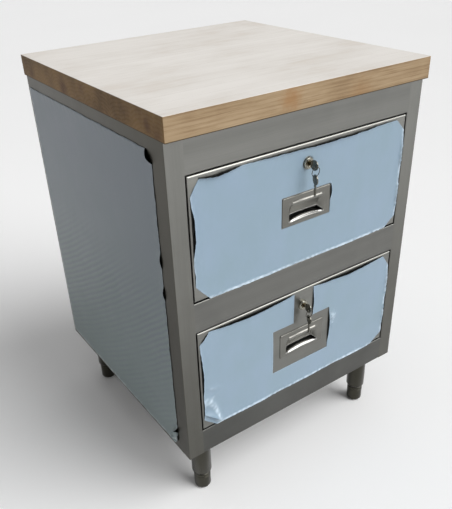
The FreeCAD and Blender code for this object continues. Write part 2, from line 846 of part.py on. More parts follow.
for foot_name, foot_x, foot_y in leg_places():
    save("foot_" + foot_name, foot(foot_x, foot_y))

for level, opening_z in (("upper", upper_opening), ("lower", lower_opening)):
    save(level + "_drawer_front", drawer_front(opening_z))
    save(level + "_tray", tray(opening_z))
    save(level + "_tray_screws", tray_screws(opening_z))
    save(level + "_film", drawer_film(opening_z, level == "lower"))
    save(level + "_pull_plate", pull_plate(opening_z))
    save(level + "_pull_pocket", pull_pocket(opening_z))
    save(level + "_pull_nuts", pull_nuts(opening_z))
    save(level + "_lock_housing", lock_housing(opening_z))
    save(level + "_lock_nut", lock_nut(opening_z))
    save(level + "_lock_plug", lock_plug(opening_z))
    save(level + "_lock_cam", lock_cam(opening_z))
    save(level + "_cam_screw", cam_screw(opening_z))
    save(level + "_key", key(opening_z))
    save(level + "_key_ring", key_ring(opening_z))
    save(level + "_spare_key", spare_key(opening_z))
    save(level + "_slide_inners", slide_inners(opening_z))
    save(level + "_slide_middles", slide_middles(opening_z))
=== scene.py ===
# %% [markdown]
# # A reagent drawer cabinet
#
# A small laboratory cabinet: a thick maple worktop on a stainless steel body, two locking drawers with
# recessed pulls, and four tubular legs on levelling feet. The steel still wears its protective film. The
# construction model is loaded first and never moved. This lesson gives its parts their finishes, and models
# in mesh code the pieces that need more shape: film, pulls, locks, keys and legs.

# %% Load the construction model
from math import atan2, copysign, cos, exp, hypot, inf, pi, radians, sin, sqrt

import bmesh
import bpy
from mathutils import Matrix, Vector
from mathutils.noise import noise


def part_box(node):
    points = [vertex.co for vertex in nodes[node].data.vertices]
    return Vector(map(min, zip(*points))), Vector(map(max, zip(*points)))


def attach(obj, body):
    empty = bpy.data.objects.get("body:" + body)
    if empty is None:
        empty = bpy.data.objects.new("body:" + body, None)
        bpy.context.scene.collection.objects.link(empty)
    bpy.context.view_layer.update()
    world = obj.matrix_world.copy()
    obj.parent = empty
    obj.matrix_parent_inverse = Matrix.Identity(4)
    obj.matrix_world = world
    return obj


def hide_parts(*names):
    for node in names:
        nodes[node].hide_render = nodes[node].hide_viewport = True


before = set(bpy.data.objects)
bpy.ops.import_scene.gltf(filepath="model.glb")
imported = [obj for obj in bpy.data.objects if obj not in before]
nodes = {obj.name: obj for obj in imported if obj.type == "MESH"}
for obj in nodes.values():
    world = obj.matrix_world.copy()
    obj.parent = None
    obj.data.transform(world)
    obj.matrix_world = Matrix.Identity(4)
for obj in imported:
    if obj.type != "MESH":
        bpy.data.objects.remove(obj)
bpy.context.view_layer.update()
mm = 0.001
levels = ("upper", "lower")
face_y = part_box("left_front_post")[0].y
side_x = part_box("left_side_panel")[0].x
print("nodes", len(nodes), "front face at y", round(face_y, 5), "left side at x", round(side_x, 5))

# %% [markdown]
# ## Camera
#
# A camera is placed like a photographer's: where it stands, which way it points, and its lens. The small
# vertical shift slides the picture without tilting the camera.

# %% Camera
def set_all(thing, **settings):
    """Give a thing several settings at once."""
    for name, value in settings.items():
        setattr(thing, name, value)
    return thing


def add_object(name, data):
    made = bpy.data.objects.new(name, data)
    bpy.context.collection.objects.link(made)
    return made


camera = add_object("camera", bpy.data.cameras.new("camera"))
set_all(camera.data, lens=44.288, sensor_width=36.0, shift_y=0.05065)
camera.location = (-0.75507, face_y - 0.82419, 1.16223)
camera.rotation_euler = [radians(angle) for angle in (58.7318, 1.8046, -35.3443)]
bpy.context.scene.camera = camera
print("camera at", [round(value, 3) for value in camera.location])

# %% [markdown]
# ## Shader sums in Python
#
# A procedural material is a graph of nodes, and most of the nodes do plain sums. Wrapping a socket in a
# small class lets those sums be written as Python: `1 - mask * 0.5` adds the two Math nodes by itself.

# %% A socket that can be added and multiplied
class Socket:
    """One output of a shader node."""

    def __init__(self, finish, socket):
        self.finish, self.socket = finish, socket

    def math(self, operation, *values):
        """A Math node on this socket and the values after it."""
        return self.finish.node("Math", dict(enumerate((self, *values))), operation=operation)

    def between(self, low, high):
        """0 below low, 1 above high, and a smooth rise in between."""
        sockets = {"Value": self, "From Min": low, "From Max": high}
        return self.finish.node("MapRange", sockets, interpolation_type="SMOOTHSTEP")

    def __add__(self, other):
        return self.math("ADD", other)

    def __mul__(self, other):
        return self.math("MULTIPLY", other)

    def __sub__(self, other):
        return self.math("SUBTRACT", other)

    def __rsub__(self, other):
        return self * -1.0 + other


# %% A finish under construction
class Finish:
    """A material or a world: its main shader and the nodes that feed it."""

    def __init__(self, name, constants, library=bpy.data.materials, main="Principled BSDF"):
        self.data = library.new(name)
        self.data.use_nodes = True
        self.tree = self.data.node_tree
        self.shader = self.tree.nodes[main]
        for socket, value in constants.items():
            self.shader.inputs[socket].default_value = value

    def node(self, kind, sockets, output=0, **settings):
        """Add a node: its settings first, then the values or links of its sockets."""
        made = set_all(self.tree.nodes.new("ShaderNode" + kind), **settings)
        for name, value in sockets.items():
            if isinstance(value, Socket):
                self.tree.links.new(value.socket, made.inputs[name])
            else:
                made.inputs[name].default_value = value
        return Socket(self, made.outputs[output])

    def here(self, coordinates="Object"):
        """The point that is being shaded, in metres."""
        return self.node("TexCoord", {}, coordinates)

    def axes(self, coordinates="Object"):
        """That point's x, y and z."""
        split = self.node("SeparateXYZ", {0: self.here(coordinates)})
        return [Socket(self, output) for output in split.socket.node.outputs]

    def cloud(self, scale, detail=3.0, roughness=0.5, shift=(0, 0, 0)):
        """Soft noise from 0 to 1, at one scale or at one for each axis."""
        stretch, scale = ((1, 1, 1), scale) if isinstance(scale, float) else (scale, 1.0)
        place = self.node("Mapping", {"Vector": self.here(), "Scale": stretch, "Location": shift})
        sockets = {"Vector": place, "Scale": scale, "Detail": detail, "Roughness": roughness}
        return self.node("TexNoise", sockets)

    def mix(self, factor, first, second):
        """A colour between two colours."""
        first, second = [end if isinstance(end, Socket) else (*end, 1.0) for end in (first, second)]
        return self.node("Mix", {0: factor, 6: first, 7: second}, 2, data_type="RGBA")

    def ramp(self, factor, *stops):
        """A colour that passes through (position, colour) stops."""
        made = self.node("ValToRGB", {"Fac": factor})
        elements = made.socket.node.color_ramp.elements
        while len(elements) < len(stops):
            elements.new(1.0)
        for element, (position, colour) in zip(elements, stops):
            set_all(element, position=position, color=(*colour, 1.0))
        return made

    def feed(self, socket, value):
        self.tree.links.new(value.socket, self.shader.inputs[socket])

    def finished(self, colour, roughness, relief, depth, strength):
        """Feed the shader, with the relief as bump, and give the material."""
        self.feed("Base Color", colour)
        self.feed("Roughness", roughness)
        self.feed("Normal", self.node("Bump", {"Height": relief, "Distance": depth, "Strength": strength}))
        return self.data


def shade(colour, share, lift=0.0):
    """A colour with its channels multiplied, by one number or by three, and lifted."""
    shares = share if isinstance(share, tuple) else (share,) * 3
    return [channel * part + lift for channel, part in zip(colour, shares)]


print("shader helpers ready")

# %% [markdown]
# ## Brushed stainless steel
#
# A satin sheet is ground one way by an abrasive belt. Each grit leaves a hair-thin scratch some centimetres
# long, so the pattern is noise that is a hundred times finer across the grain than along it. It changes the
# roughness more than the colour. Handling leaves broad, faint smudges on top.

# %% Steel that is brushed along one axis
def brushed_steel(name, grain_axis, colour, floor_shade, roughness=0.34, clouding=0.22, shaded_sides=False,
                  painted_highlight=False):
    """Floor shade is how much painted shade darkens the sheet down by the floor, and clouding is how much its
    tone drifts. With shaded sides, the cabinet's left and right faces are painted dark as painted shade. A
    part with a painted highlight has a "highlight_paint" attribute, which says where it is painted bright and
    smoother."""
    finish = Finish(name, {"Metallic": 1.0})
    grain = [9.0 if axis == grain_axis else 900.0 for axis in "xyz"]
    scratches = finish.cloud(grain, 4.0, 0.65)
    bands = finish.cloud([scale / 40 for scale in grain], 2.0)
    smudges = finish.cloud(5.5, 4.0, 0.6).between(0.38, 0.72)
    tone = (scratches - 0.5) * 0.55 + (bands - 0.5) * 1.3 + 0.5
    sheet = finish.mix(tone.between(-0.15, 1.15), shade(colour, 1 - clouding), shade(colour, 1 + clouding))
    x, _, z = finish.axes()
    # painted shade: the sheet is coloured darker towards the floor; the smudges on top are real handling
    # marks
    shade_and_smudges = (1 - z.between(0.15, 0.95)) * floor_shade + (smudges - 0.5) * 0.10
    # painted shade: the faces on the cabinet's left and right are coloured dark, in a warm shade colour
    if shaded_sides:
        painted_side_shade = x.math("ABSOLUTE").between(abs(side_x) - 0.0006, abs(side_x) - 0.0002)
        shade_and_smudges = shade_and_smudges + (0.92 - shade_and_smudges) * painted_side_shade
    sheet = finish.mix(shade_and_smudges, sheet, shade(colour, (0.205, 0.188, 0.152) if shaded_sides else 0.18))
    polish = scratches * 0.14 + smudges * 0.06 + (roughness - 0.10)
    # painted highlight: where the attribute says, the pull is coloured bright, with a little less roughness
    if painted_highlight:
        highlight_paint = finish.node("Attribute", {}, "Fac", attribute_name="highlight_paint")
        sheet = finish.mix(highlight_paint, sheet, (0.40, 0.40, 0.385))
        polish = polish - highlight_paint * 0.08
    return finish.finished(sheet, polish, scratches, 0.00003, 0.6)


# One steel in copies with painted light: posts and sides a little darker, drawer fronts a little lighter, and
# legs and feet much darker as painted shade under the cabinet.
steel_x = brushed_steel("steel_brushed_along_x", "x", (0.266, 0.266, 0.250), 0.75)
steel_z = brushed_steel("steel_brushed_along_z", "z", (0.242, 0.242, 0.226), 0.63, 0.34, 0.26, shaded_sides=True)
tube_steel = brushed_steel("tube_steel", "z", (0.078, 0.075, 0.060), 0.3, 0.30)
front_steel = brushed_steel("front_steel", "x", (0.290, 0.290, 0.270), 0.40)
pressed_steel = brushed_steel("pressed_steel", "x", (0.225, 0.221, 0.202), 0.2, 0.33, painted_highlight=True)
tray_steel = brushed_steel("tray_steel", "y", (0.36, 0.365, 0.36), 0.2, 0.38)
print("brushed steels", 6)

# %% [markdown]
# ## Plated and moulded parts
#
# Zinc plate is dull and slightly blue with a fine crystalline mottle. Chrome, nickel and brass are smooth,
# with faint waviness from polishing. The plastic and the rubber are matte, with a fine moulded grain.

# %% Plated metals
def plated(name, colour, roughness, mottle_scale, mottle_depth):
    """Smooth plate with a mottle that changes its gloss and, slightly, its tone."""
    finish = Finish(name, {"Metallic": 1.0})
    mottle = finish.cloud(mottle_scale, 5.0, 0.6)
    wear = finish.cloud(60.0).between(0.45, 0.70)
    tone = finish.mix(mottle * 0.7 + wear * 0.3, shade(colour, 0.82), colour)
    return finish.finished(tone, mottle * 0.10 + wear * 0.06 + (roughness - 0.08), mottle, mottle_depth, 0.4)


zinc = plated("zinc_plate", (0.44, 0.46, 0.48), 0.38, 420.0, 0.00004)
chrome = plated("lock_chrome", (0.34, 0.33, 0.28), 0.20, 90.0, 0.00001)
brass = plated("lock_brass", (0.12, 0.092, 0.048), 0.26, 180.0, 0.00002)
nickel = plated("key_nickel", (0.175, 0.170, 0.145), 0.15, 150.0, 0.00002)
print("plated metals", 4)


# %% Plastic and rubber
def moulded(name, colour, roughness, grain_scale, grain_depth):
    finish = Finish(name, {"Metallic": 0.0, "Specular IOR Level": 0.4})
    grain = finish.cloud(grain_scale, 4.0, 0.7)
    dust = finish.cloud(45.0).between(0.50, 0.80)
    tone = finish.mix(dust * 0.5 + grain * 0.2, colour, shade(colour, 1.9, 0.01))
    return finish.finished(tone, grain * 0.16 + (roughness - 0.08), grain, grain_depth, 0.6)


pocket_black = moulded("pocket_black", (0.012, 0.012, 0.014), 0.42, 700.0, 0.00008)
stop_rubber = moulded("stop_rubber", (0.020, 0.020, 0.020), 0.75, 900.0, 0.00012)
print("moulded materials", 2)

# %% [markdown]
# ## Maple, glued up from staves
#
# Every stave of the worktop was cut from a different board, so each one gets its own tone and its own ring
# centre. Growth rings are distances from that centre, across the grain. Long faces then show streaks and the
# two ends show arcs, because one solid pattern runs right through the block. The top is painted paler and
# greyer than the edges, a painted sheen of the light it catches, and end grain is darkest. A thin dark band
# under the slab's edges is a painted shadow of the gap beneath it.

# %% Maple
stave_width = 0.038
knot, stain, honey = (0.075, 0.032, 0.012), (0.300, 0.155, 0.060), (0.300, 0.170, 0.075)
# Each spot: how far right, back and up of the slab's lowest corner, its size, its strength and its colour.
spots = ((0.0, 0.052, 0.017, 0.016, 0.85, knot), (0.0, 0.385, 0.015, 0.028, 0.80, knot),
         (0.0, 0.300, 0.030, 0.020, 0.55, knot), (0.0, 0.020, 0.008, 0.022, 0.55, knot),
         (0.0, 0.560, 0.010, 0.022, 0.70, knot), (0.253, 0.0, 0.024, 0.034, 0.72, stain),
         (0.420, 0.0, 0.006, 0.040, 0.45, honey))


def maple():
    finish = Finish("maple_staves", {"Specular IOR Level": 0.16})
    low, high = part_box("maple_top")
    x, y, z = finish.axes()
    staves = y.math("DIVIDE", stave_width)
    stave = staves.math("FLOOR")
    within = staves - stave

    def chance(seed):
        """A steady random number from 0 to 1 for each stave."""
        return finish.node("TexWhiteNoise", {"W": stave + seed}, noise_dimensions="1D")

    bend = finish.cloud((2.2, 9.0, 9.0)) - 0.5
    across = (within - 0.5) * stave_width + (chance(3.1) - 0.5) * 0.06 + bend * 0.016
    below = z - 0.80 - chance(7.7) * 0.05 + bend * 0.010
    radius = (across * across + below * below).math("SQRT")
    rings = ((radius * 900.0).math("SINE") * 0.5 + 0.5).math("POWER", 2.2)
    fibre = finish.cloud((14.0, 950.0, 950.0), 5.0, 0.7)
    streak = finish.cloud((9.0, 170.0, 170.0), 4.0, 0.65)
    blotch = finish.cloud((5.0, 11.0, 11.0), 5.0, 0.6).between(0.35, 0.72)
    figure = rings * 0.07 + fibre * 0.33 + streak * 0.50 + chance(1.3) * 0.12
    long_grain = finish.ramp(figure + (blotch - 0.5) * 0.16, (0.28, (0.450, 0.337, 0.218)),
                             (0.50, (0.340, 0.244, 0.144)), (0.72, (0.205, 0.128, 0.066)))
    end_grain = finish.ramp(rings * 0.04 + fibre * 0.42 + blotch * 0.54, (0.20, (0.190, 0.110, 0.039)),
                            (0.80, (0.078, 0.040, 0.010)))
    top_painted_sheen = finish.ramp(figure * 0.60 + blotch * 0.40, (0.20, (0.800, 0.770, 0.730)),
                         (0.55, (0.735, 0.700, 0.655)), (0.90, (0.640, 0.575, 0.500)))
    sides = finish.mix(x.math("ABSOLUTE").between(0.3042, 0.3049), long_grain, end_grain)
    for right, back, up, size, strength, colour in spots:
        wobble = finish.cloud(70.0, 4.0, 0.65) * size
        ends = {0: finish.here(), 1: (low.x + right, low.y + back, low.z + up)}
        away = finish.node("VectorMath", ends, "Value", operation="DISTANCE")
        spot = (1 - (away + wobble - size * 0.5).between(0.0, size)) * strength
        sides = finish.mix(spot, sides, colour)
    # painted shadow: a dark band along the lowest millimetres of the slab's edges, for the gap below it
    painted_gap_shadow = 1 - z.between(low.z + 0.0012, low.z + 0.0026)
    sides = finish.mix(painted_gap_shadow * 0.88, sides, (0.040, 0.027, 0.014))
    # painted sheen: the top face is coloured paler and greyer
    wood = finish.mix(z.between(high.z - 0.0009, high.z - 0.0001), sides, top_painted_sheen)
    seam = (within - 0.5).math("ABSOLUTE").between(0.488, 0.499)
    wood = finish.mix(seam * 0.30, wood, (0.20, 0.12, 0.06))
    relief = fibre * 0.6 + rings * 0.4 - seam * 0.5
    return finish.finished(wood, fibre * 0.16 + rings * 0.08 + 0.42, relief, 0.00008, 0.55)


maple_wood = maple()
print("maple staves of", stave_width / mm, "mm")

# %% [markdown]
# ## Protective film
#
# Sheet steel is sold under a thin plastic film that is peeled off last. It is pale blue outside and black
# inside, so wherever an edge has curled, the black shows. The outside is smooth and a little milky, with soft
# clouds. On the sides it is painted darker and greyer as painted shade, with painted sheen in bands over a
# roller's ripples. Its edges, creases and tears get a painted highlight.

# %% Film, outside and inside
ripple_pitch, ripple_lean, ripple_curve = 0.0145, 0.85, 0.29


def film_finish(name, colour, roughness, ripples_show=0.0, gloss=0.45):
    """Ripples are drawn on a sheet in the YZ plane. The "film_highlight_paint" attribute says where it gets a
    painted highlight.
    """
    finish = Finish(name, {"Specular IOR Level": gloss})
    clouds = finish.cloud(11.0, 5.0, 0.6)
    drag = finish.cloud((26.0, 26.0, 9.0), 4.0, 0.6)
    tone = relief = clouds * 0.6 + drag * 0.4
    pale, deep = (1.12, 1.07, 1.18), (0.87, 0.92, 0.84)
    if ripples_show:
        pale, deep = (1.09, 1.14, 1.07), (0.90, 0.86, 0.98)
        _, y, z = finish.axes()
        back = y - face_y
        phase = z + back * (ripple_lean - back * ripple_curve) + (clouds - 0.5) * 0.011
        wave = (phase * (2 * pi / ripple_pitch)).math("SINE") * 0.5 + 0.5
        gripped = finish.cloud((1.0, 3.2, 4.4), 4.0, 0.6, (0.0, 0.4, 0.1)).between(0.32, 0.56)
        where = z.between(0.17, 0.24) * (1 - z.between(0.42, 0.62)) * gripped
        relief = tone + wave * where * ripples_show
        # painted sheen in bands over the ripples, and painted reflection: paler low down and darker high up
        tone = tone + (wave - 0.5) * where * ripples_show * 0.95 + (0.5 - z.between(0.20, 0.80)) * 0.7
    # painted highlight: the film is coloured pale along its edges and at its creases and tears
    film_highlight_paint = finish.node("Attribute", {}, "Fac", attribute_name="film_highlight_paint")
    highlight_colour = shade(colour, 1.25, 0.30) if sum(colour) > 0.1 else colour
    tone = finish.mix(film_highlight_paint, finish.mix(tone, shade(colour, deep), shade(colour, pale)), highlight_colour)
    relief += finish.cloud(48.0, 4.0, 0.6) * 0.35
    return finish.finished(tone, clouds * 0.14 + drag * 0.08 + (roughness - 0.1), relief, 0.0007, 0.40)


film_blue = film_finish("film_blue", (0.254, 0.346, 0.422), 0.36)
# painted shade: the sides' film is the same film coloured darker and greyer
film_painted_shade = film_finish("film_painted_shade", (0.132, 0.164, 0.174), 0.34, 1.05)
film_black = film_finish("film_black", (0.004, 0.004, 0.005), 0.70, gloss=0.10)
print("film finishes", 3)

# %% [markdown]
# ## Finishes on the construction model
#
# Parts whose solid shape is already right keep it, and only their material changes. The grain runs along a
# rail, and up a post or a side.

# %% Give each node its finish, by the end of its name
endings = ((maple_wood, "maple_top"), (stop_rubber, "rear_bumpers"), (steel_x, "_rail", "base_pan"),
           (steel_z, "_panel", "_post"), (front_steel, "_drawer_front"), (tray_steel, "_tray"),
           (pocket_black, "_pull_pocket"), (zinc, "top_channels", "slide_uprights", "slide_outers", "_inners",
                                            "_middles", "_pull_nuts", "_lock_nut", "_lock_cam"))
finished = []
for name, node in nodes.items():
    for material, *ends in endings:
        if name.endswith(tuple(ends)):
            finished.append(name)
            for index in range(len(node.data.materials)):
                node.data.materials[index] = material
print("finished nodes", len(finished))

# %% [markdown]
# ## Making a piece
#
# A bmesh is a mesh in memory that operators can shape. When it is done it becomes an object, and rides on
# the body that carries it, so that it moves with a drawer or a lock. Edges sharper than a limit stay crisp.

# %% From bmesh to piece
def mesh_of(name, shape):
    """Turn a bmesh into a mesh, and free it."""
    mesh = bpy.data.meshes.new(name)
    shape.to_mesh(mesh)
    shape.free()
    return mesh


def make_piece(name, shape, materials, body, replaced=(), crease_degrees=35.0):
    """A finished object at the origin, with its place in its mesh."""
    bmesh.ops.remove_doubles(shape, verts=shape.verts, dist=1e-7)
    mesh = mesh_of(name, shape)
    mesh.shade_smooth()
    mesh.set_sharp_from_angle(angle=radians(crease_degrees))
    for material in materials:
        mesh.materials.append(material)
    piece = add_object(name, mesh)
    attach(piece, body)
    if replaced:
        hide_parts(*replaced)
    print(name, "faces", len(mesh.polygons))
    return piece


# %% The separate solids of a node
def solids_of(node):
    """The lowest and highest corner of each separate solid in a node, read from a merged copy."""
    copy = bmesh.new()
    copy.from_mesh(nodes[node].data)
    bmesh.ops.remove_doubles(copy, verts=copy.verts, dist=1e-6)
    seen, corners = set(), []
    for start in copy.verts:
        group = [] if start in seen else [start]
        seen.add(start)
        for vertex in group:
            others = {edge.other_vert(vertex) for edge in vertex.link_edges} - seen
            seen |= others
            group += others
        if group:
            spans = list(zip(*[vertex.co for vertex in group]))
            corners.append((Vector([min(span) for span in spans]), Vector([max(span) for span in spans])))
    copy.free()
    return corners


print("leg tubes", len(solids_of("leg_tubes")), "back screws", len(solids_of("back_screws")))

# %% [markdown]
# ## Film that has begun to come loose
#
# Film could be painted on as a colour, but its edges would then be dead straight. Here it is a real sheet: a
# flat grid, cut to its outline, pulled in unevenly at the border and bent outwards wherever it has let go. A
# loose edge bends along an arc, so its reach (how far in it has let go) and its turn (how far it has curled)
# give every point's place. A Solidify modifier adds the thickness, with the black material on the inside.

# %% How a loose edge bends (millimetres: u across, v up, and the distance off the panel)
def blend_in(value, low, high):
    """0 below low, 1 above high, smooth in between."""
    share = min(1.0, max(0.0, (value - low) / (high - low)))
    return share * share * (3 - 2 * share)


def bend_loose_edges(u, v, loose_edges, seed):
    """Each loose edge is (start, end, reach, turn), with the film on the left of start to end."""
    off_panel = 0.0
    for start, end, reach, turn in loose_edges:
        along = Vector(end) - Vector(start)
        length = along.length
        along.normalize()
        inward = Vector((-along.y, along.x))
        offset = Vector((u, v)) - Vector(start)
        share = offset.dot(along) / length
        depth = offset.dot(inward)
        if not 0.0 < share < 1.0 or depth < -3.0:
            continue
        uneven = 1.0 + 0.13 * noise((offset.dot(along) / 34.0, seed, reach))
        swell = sin(pi * share) ** 0.55 * uneven
        loose = reach * swell
        if depth >= loose:
            continue
        radius = loose / (radians(turn) * swell)
        swing = (loose - depth) / radius
        moved = loose - radius * sin(swing) - depth
        u += inward.x * moved
        v += inward.y * moved
        off_panel += radius * (1.0 - cos(swing))
    return u, v, off_panel


# %% How the border is pulled in, and how the sheet lies
stand_off, crumpled_height = 0.40, 0.6


def creases(u, v, across, up, seed):
    """Sharp creases from 0 to 1, each about this wide and high."""
    return abs(noise((u / across, v / up, seed)))


def ragged_border(u, v, low, high, seed):
    """How far a point is pulled in from the border, less and less towards the middle."""
    pulled_u = pulled_v = 0.0
    borders = ((u - low[0], v, 1, 0), (high[0] - u, v, -1, 0), (v - low[1], u, 0, 1), (high[1] - v, u, 0, -1))
    for number, (depth, place, right, up) in enumerate(borders):
        wave = 0.75 * noise((place / 31, number * 5.3, seed))
        wave += 0.55 * noise((place / 7, number, seed))
        pull = (0.8 + 1.5 * wave) * exp(-max(depth, 0.0) / 9.0)
        pulled_u += right * pull
        pulled_v += up * pull
    return pulled_u, pulled_v


def resting_height(u, v, edge, seed):
    """Soft bubbles everywhere, and small crinkles near the edge."""
    near = exp(-max(edge, 0.0) / 11.0)
    bubble = 0.22 * (0.5 + noise((u / 70, v / 70, seed)))
    crinkle = 1.1 * near * creases(u, v, 11, 11, seed + 9)
    crinkle += 0.45 * near * creases(u, v, 4.5, 4.5, seed + 3)
    return stand_off + max(0.0, bubble) + crinkle


def film_highlight_amount(u, v, low, high, seed, folded, on_border):
    """How much painted highlight the film gets: along its edges, where it was torn, and where it is creased.
    """
    patchy = max(0.0, 0.55 + 0.9 * noise((u / 7, v / 7, seed + 5)))
    # painted highlight along the bottom, right and left edges and the whole border
    edge_highlight = max(0.9 * (1 - blend_in(v - low[1], 1.5, 6.0)), 0.9 * (1 - blend_in(high[0] - u, 1.5, 6.0)),
               0.5 * (1 - blend_in(u - low[0], 1.0, 4.0)), 0.30 * on_border)
    return min(1.0, patchy * (edge_highlight + 0.85 * blend_in(folded, crumpled_height, 2.4)))


# %% Cut a grid to an outline
def flat_grid(low, high, spacing):
    """A grid in millimetres, from corner to corner."""
    shape = bmesh.new()
    width, height = high[0] - low[0], high[1] - low[1]
    columns, rows = round(width / spacing), round(height / spacing)
    bmesh.ops.create_grid(shape, x_segments=columns, y_segments=rows, size=0.5)
    bmesh.ops.scale(shape, vec=(width, height, 1), verts=shape.verts)
    middle = ((low[0] + high[0]) / 2, (low[1] + high[1]) / 2, 0)
    bmesh.ops.translate(shape, vec=middle, verts=shape.verts)
    return shape


def divide(shape, place, normal, **settings):
    """Cut every face that a plane crosses."""
    everything = shape.verts[:] + shape.edges[:] + shape.faces[:]
    bmesh.ops.bisect_plane(shape, geom=everything, dist=1e-4, plane_co=place, plane_no=normal, **settings)


def take_out(shape, inside):
    """Delete the faces whose middles are inside."""
    faces = [face for face in shape.faces if inside(face.calc_center_median())]
    bmesh.ops.delete(shape, geom=faces, context="FACES")


def cut_outline(shape, spacing, cuts, openings, round_holes):
    """Cut off the corners, then take out the rectangles and the round holes."""
    for start, end in cuts:
        along = (Vector(end) - Vector(start)).normalized()
        divide(shape, (*start, 0.0), (along.y, -along.x, 0.0), clear_outer=True)
    for low, high in openings:
        for corner, normal in ((low, (1, 0, 0)), (high, (1, 0, 0)), (low, (0, 1, 0)), (high, (0, 1, 0))):
            divide(shape, (*corner, 0.0), normal)
        take_out(shape, lambda point: low[0] < point.x < high[0] and low[1] < point.y < high[1])
    for centre, radius in round_holes:
        take_out(shape, lambda point: (point - centre).length < radius)
        for vertex in shape.verts:
            away = vertex.co - centre
            if away.length < radius or (vertex.is_boundary and away.length < radius + spacing):
                vertex.co = centre + away.normalized() * radius


# %% A sheet of film
film_thickness, ragged_width = 0.25, 40.0


def lay(shape, place):
    """Move a shape from its flat Z side to its panel, with its faces turned outwards."""
    shape.transform(place)
    bmesh.ops.recalc_face_normals(shape, faces=shape.faces)
    outward = place.to_3x3() @ Vector((0, 0, 1))
    if sum(face.normal.dot(outward) * face.calc_area() for face in shape.faces) < 0:
        bmesh.ops.reverse_faces(shape, faces=shape.faces)


def film_sheet(name, low, high, spacing, cuts, openings, round_holes, loose_edges, extra_height, place,
               body, replaced, outside):
    """Cut a grid to its outline, shape it and set it on its panel."""
    seed = len(name) + 0.37 * len(loose_edges)
    shape = flat_grid(low, high, spacing)
    cut_outline(shape, spacing, cuts, openings, round_holes)
    film_highlight_paint = shape.verts.layers.float.new("film_highlight_paint")
    crumpled = []
    for vertex in shape.verts:
        u, v = vertex.co.x, vertex.co.y
        folded = extra_height(u, v)
        if folded > crumpled_height:
            crumpled.append(vertex)
        edge = min(u - low[0], high[0] - u, v - low[1], high[1] - v)
        vertex[film_highlight_paint] = film_highlight_amount(u, v, low, high, seed, folded, vertex.is_boundary)
        bent_u, bent_v, off_panel = bend_loose_edges(u, v, loose_edges, seed)
        if edge < ragged_width:
            pulled_u, pulled_v = ragged_border(u, v, low, high, seed)
            bent_u, bent_v = bent_u + pulled_u, bent_v + pulled_v
        vertex.co = (bent_u, bent_v, resting_height(u, v, edge, seed) + folded + off_panel)
    for _ in range(3):
        bmesh.ops.smooth_vert(shape, verts=crumpled, factor=0.5, use_axis_x=True, use_axis_y=True,
                              use_axis_z=True)
    lay(shape, place)
    piece = make_piece(name, shape, (outside, film_black), body, replaced, 70.0)
    thicken = piece.modifiers.new("thickness", "SOLIDIFY")
    set_all(thicken, thickness=film_thickness * mm, offset=-1.0, material_offset=1)


# From film millimetres to the drawers' front plane, and to each side panel, where u runs back from the front.
on_front = Matrix(((mm, 0, 0, 0), (0, 0, -mm, face_y), (0, mm, 0, 0), (0, 0, 0, 1)))
on_side = {side: Matrix(((0, 0, way * mm, -way * side_x), (mm, 0, 0, face_y), (0, mm, 0, 0), (0, 0, 0, 1)))
           for side, way in (("left", -1), ("right", 1))}
print("film tools ready, stand-off", stand_off, "mm")

# %% [markdown]
# ## The drawers' film
#
# The upper sheet is whole, apart from its corners, the pull and the lock. On the lower drawer somebody has
# torn out a square round the pull and a strip up to the top edge round the lock. Each loose edge below is one
# stretch where the sheet has let go.

# %% Measures of the drawer fronts
def film_edges(level, short):
    """A drawer film's left, right, bottom and top. It ends this far short of the front's top edge."""
    low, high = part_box(level + "_drawer_front")
    low, high = low / mm, high / mm
    return low.x + 2.0, high.x - 2.5, low.z - 2.0, high.z - short


def lock_z(level):
    low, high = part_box(level + "_lock_housing")
    return (low.z + high.z) / 2 / mm


print("locks at z", [round(lock_z(level), 1) for level in levels])


# %% Upper film
def patch(u, v, middle_u, half_u, middle_v=0.0, half_v=inf):
    """1 in the middle of a soft patch, and 0 well outside it."""
    return exp(-((u - middle_u) / half_u) ** 2 - ((v - middle_v) / half_v) ** 2)


def upper_folds(u, v):
    """A crumpled right edge."""
    return 2.4 * creases(u, v, 5, 12, 2.6) * patch(u, v, right, 9)


left, right, bottom, top = film_edges("upper", 5.5)
low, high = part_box("upper_pull_plate")
gap = 1.2
opening = (low.x / mm - gap, low.z / mm - gap), (high.x / mm + gap, high.z / mm + gap)
(_, opening_low), (opening_right, opening_high) = opening
upper_loose = [
    ((-150, top), (-252, top), 7.5, 132), ((248, top), (-156, top), 5.6, 132),
    ((left, 744), (left, 618), 11, 84), ((left, 610), (left, 566), 3.5, 60),
    ((-226, bottom), (-20, bottom), 6.5, 84), ((-26, bottom), (230, bottom), 6, 78),
    ((right, 560), (right, 655), 6.5, 66), ((right, 650), (right, 740), 7.5, 74),
    ((opening_right, opening_high + 2.8), (opening_right, opening_low + 27.2), 4, 96),
    ((left, 566), (-231, bottom), 2.6, 45),
]
corners = [((left, 567), (-231, bottom)), ((-240, top), (left, 743)), ((231, bottom), (right, 556)),
           ((right, 748), (236, top))]
film_sheet("upper_film_sheet", (left, bottom), (right, top), 2.4, corners, [opening],
           [(Vector((0, lock_z("upper"), 0)), 12.4)], upper_loose, upper_folds, on_front,
           "upper_drawer", ("upper_film",), film_blue)

# %% Lower film, torn open round the pull and the lock
left, right, bottom, top = film_edges("lower", 4.5)
strip_left, strip_right = -24.0, 29.0
patch_left, patch_right, patch_low, patch_high = -80.0, 79.0, 276.0, 386.0


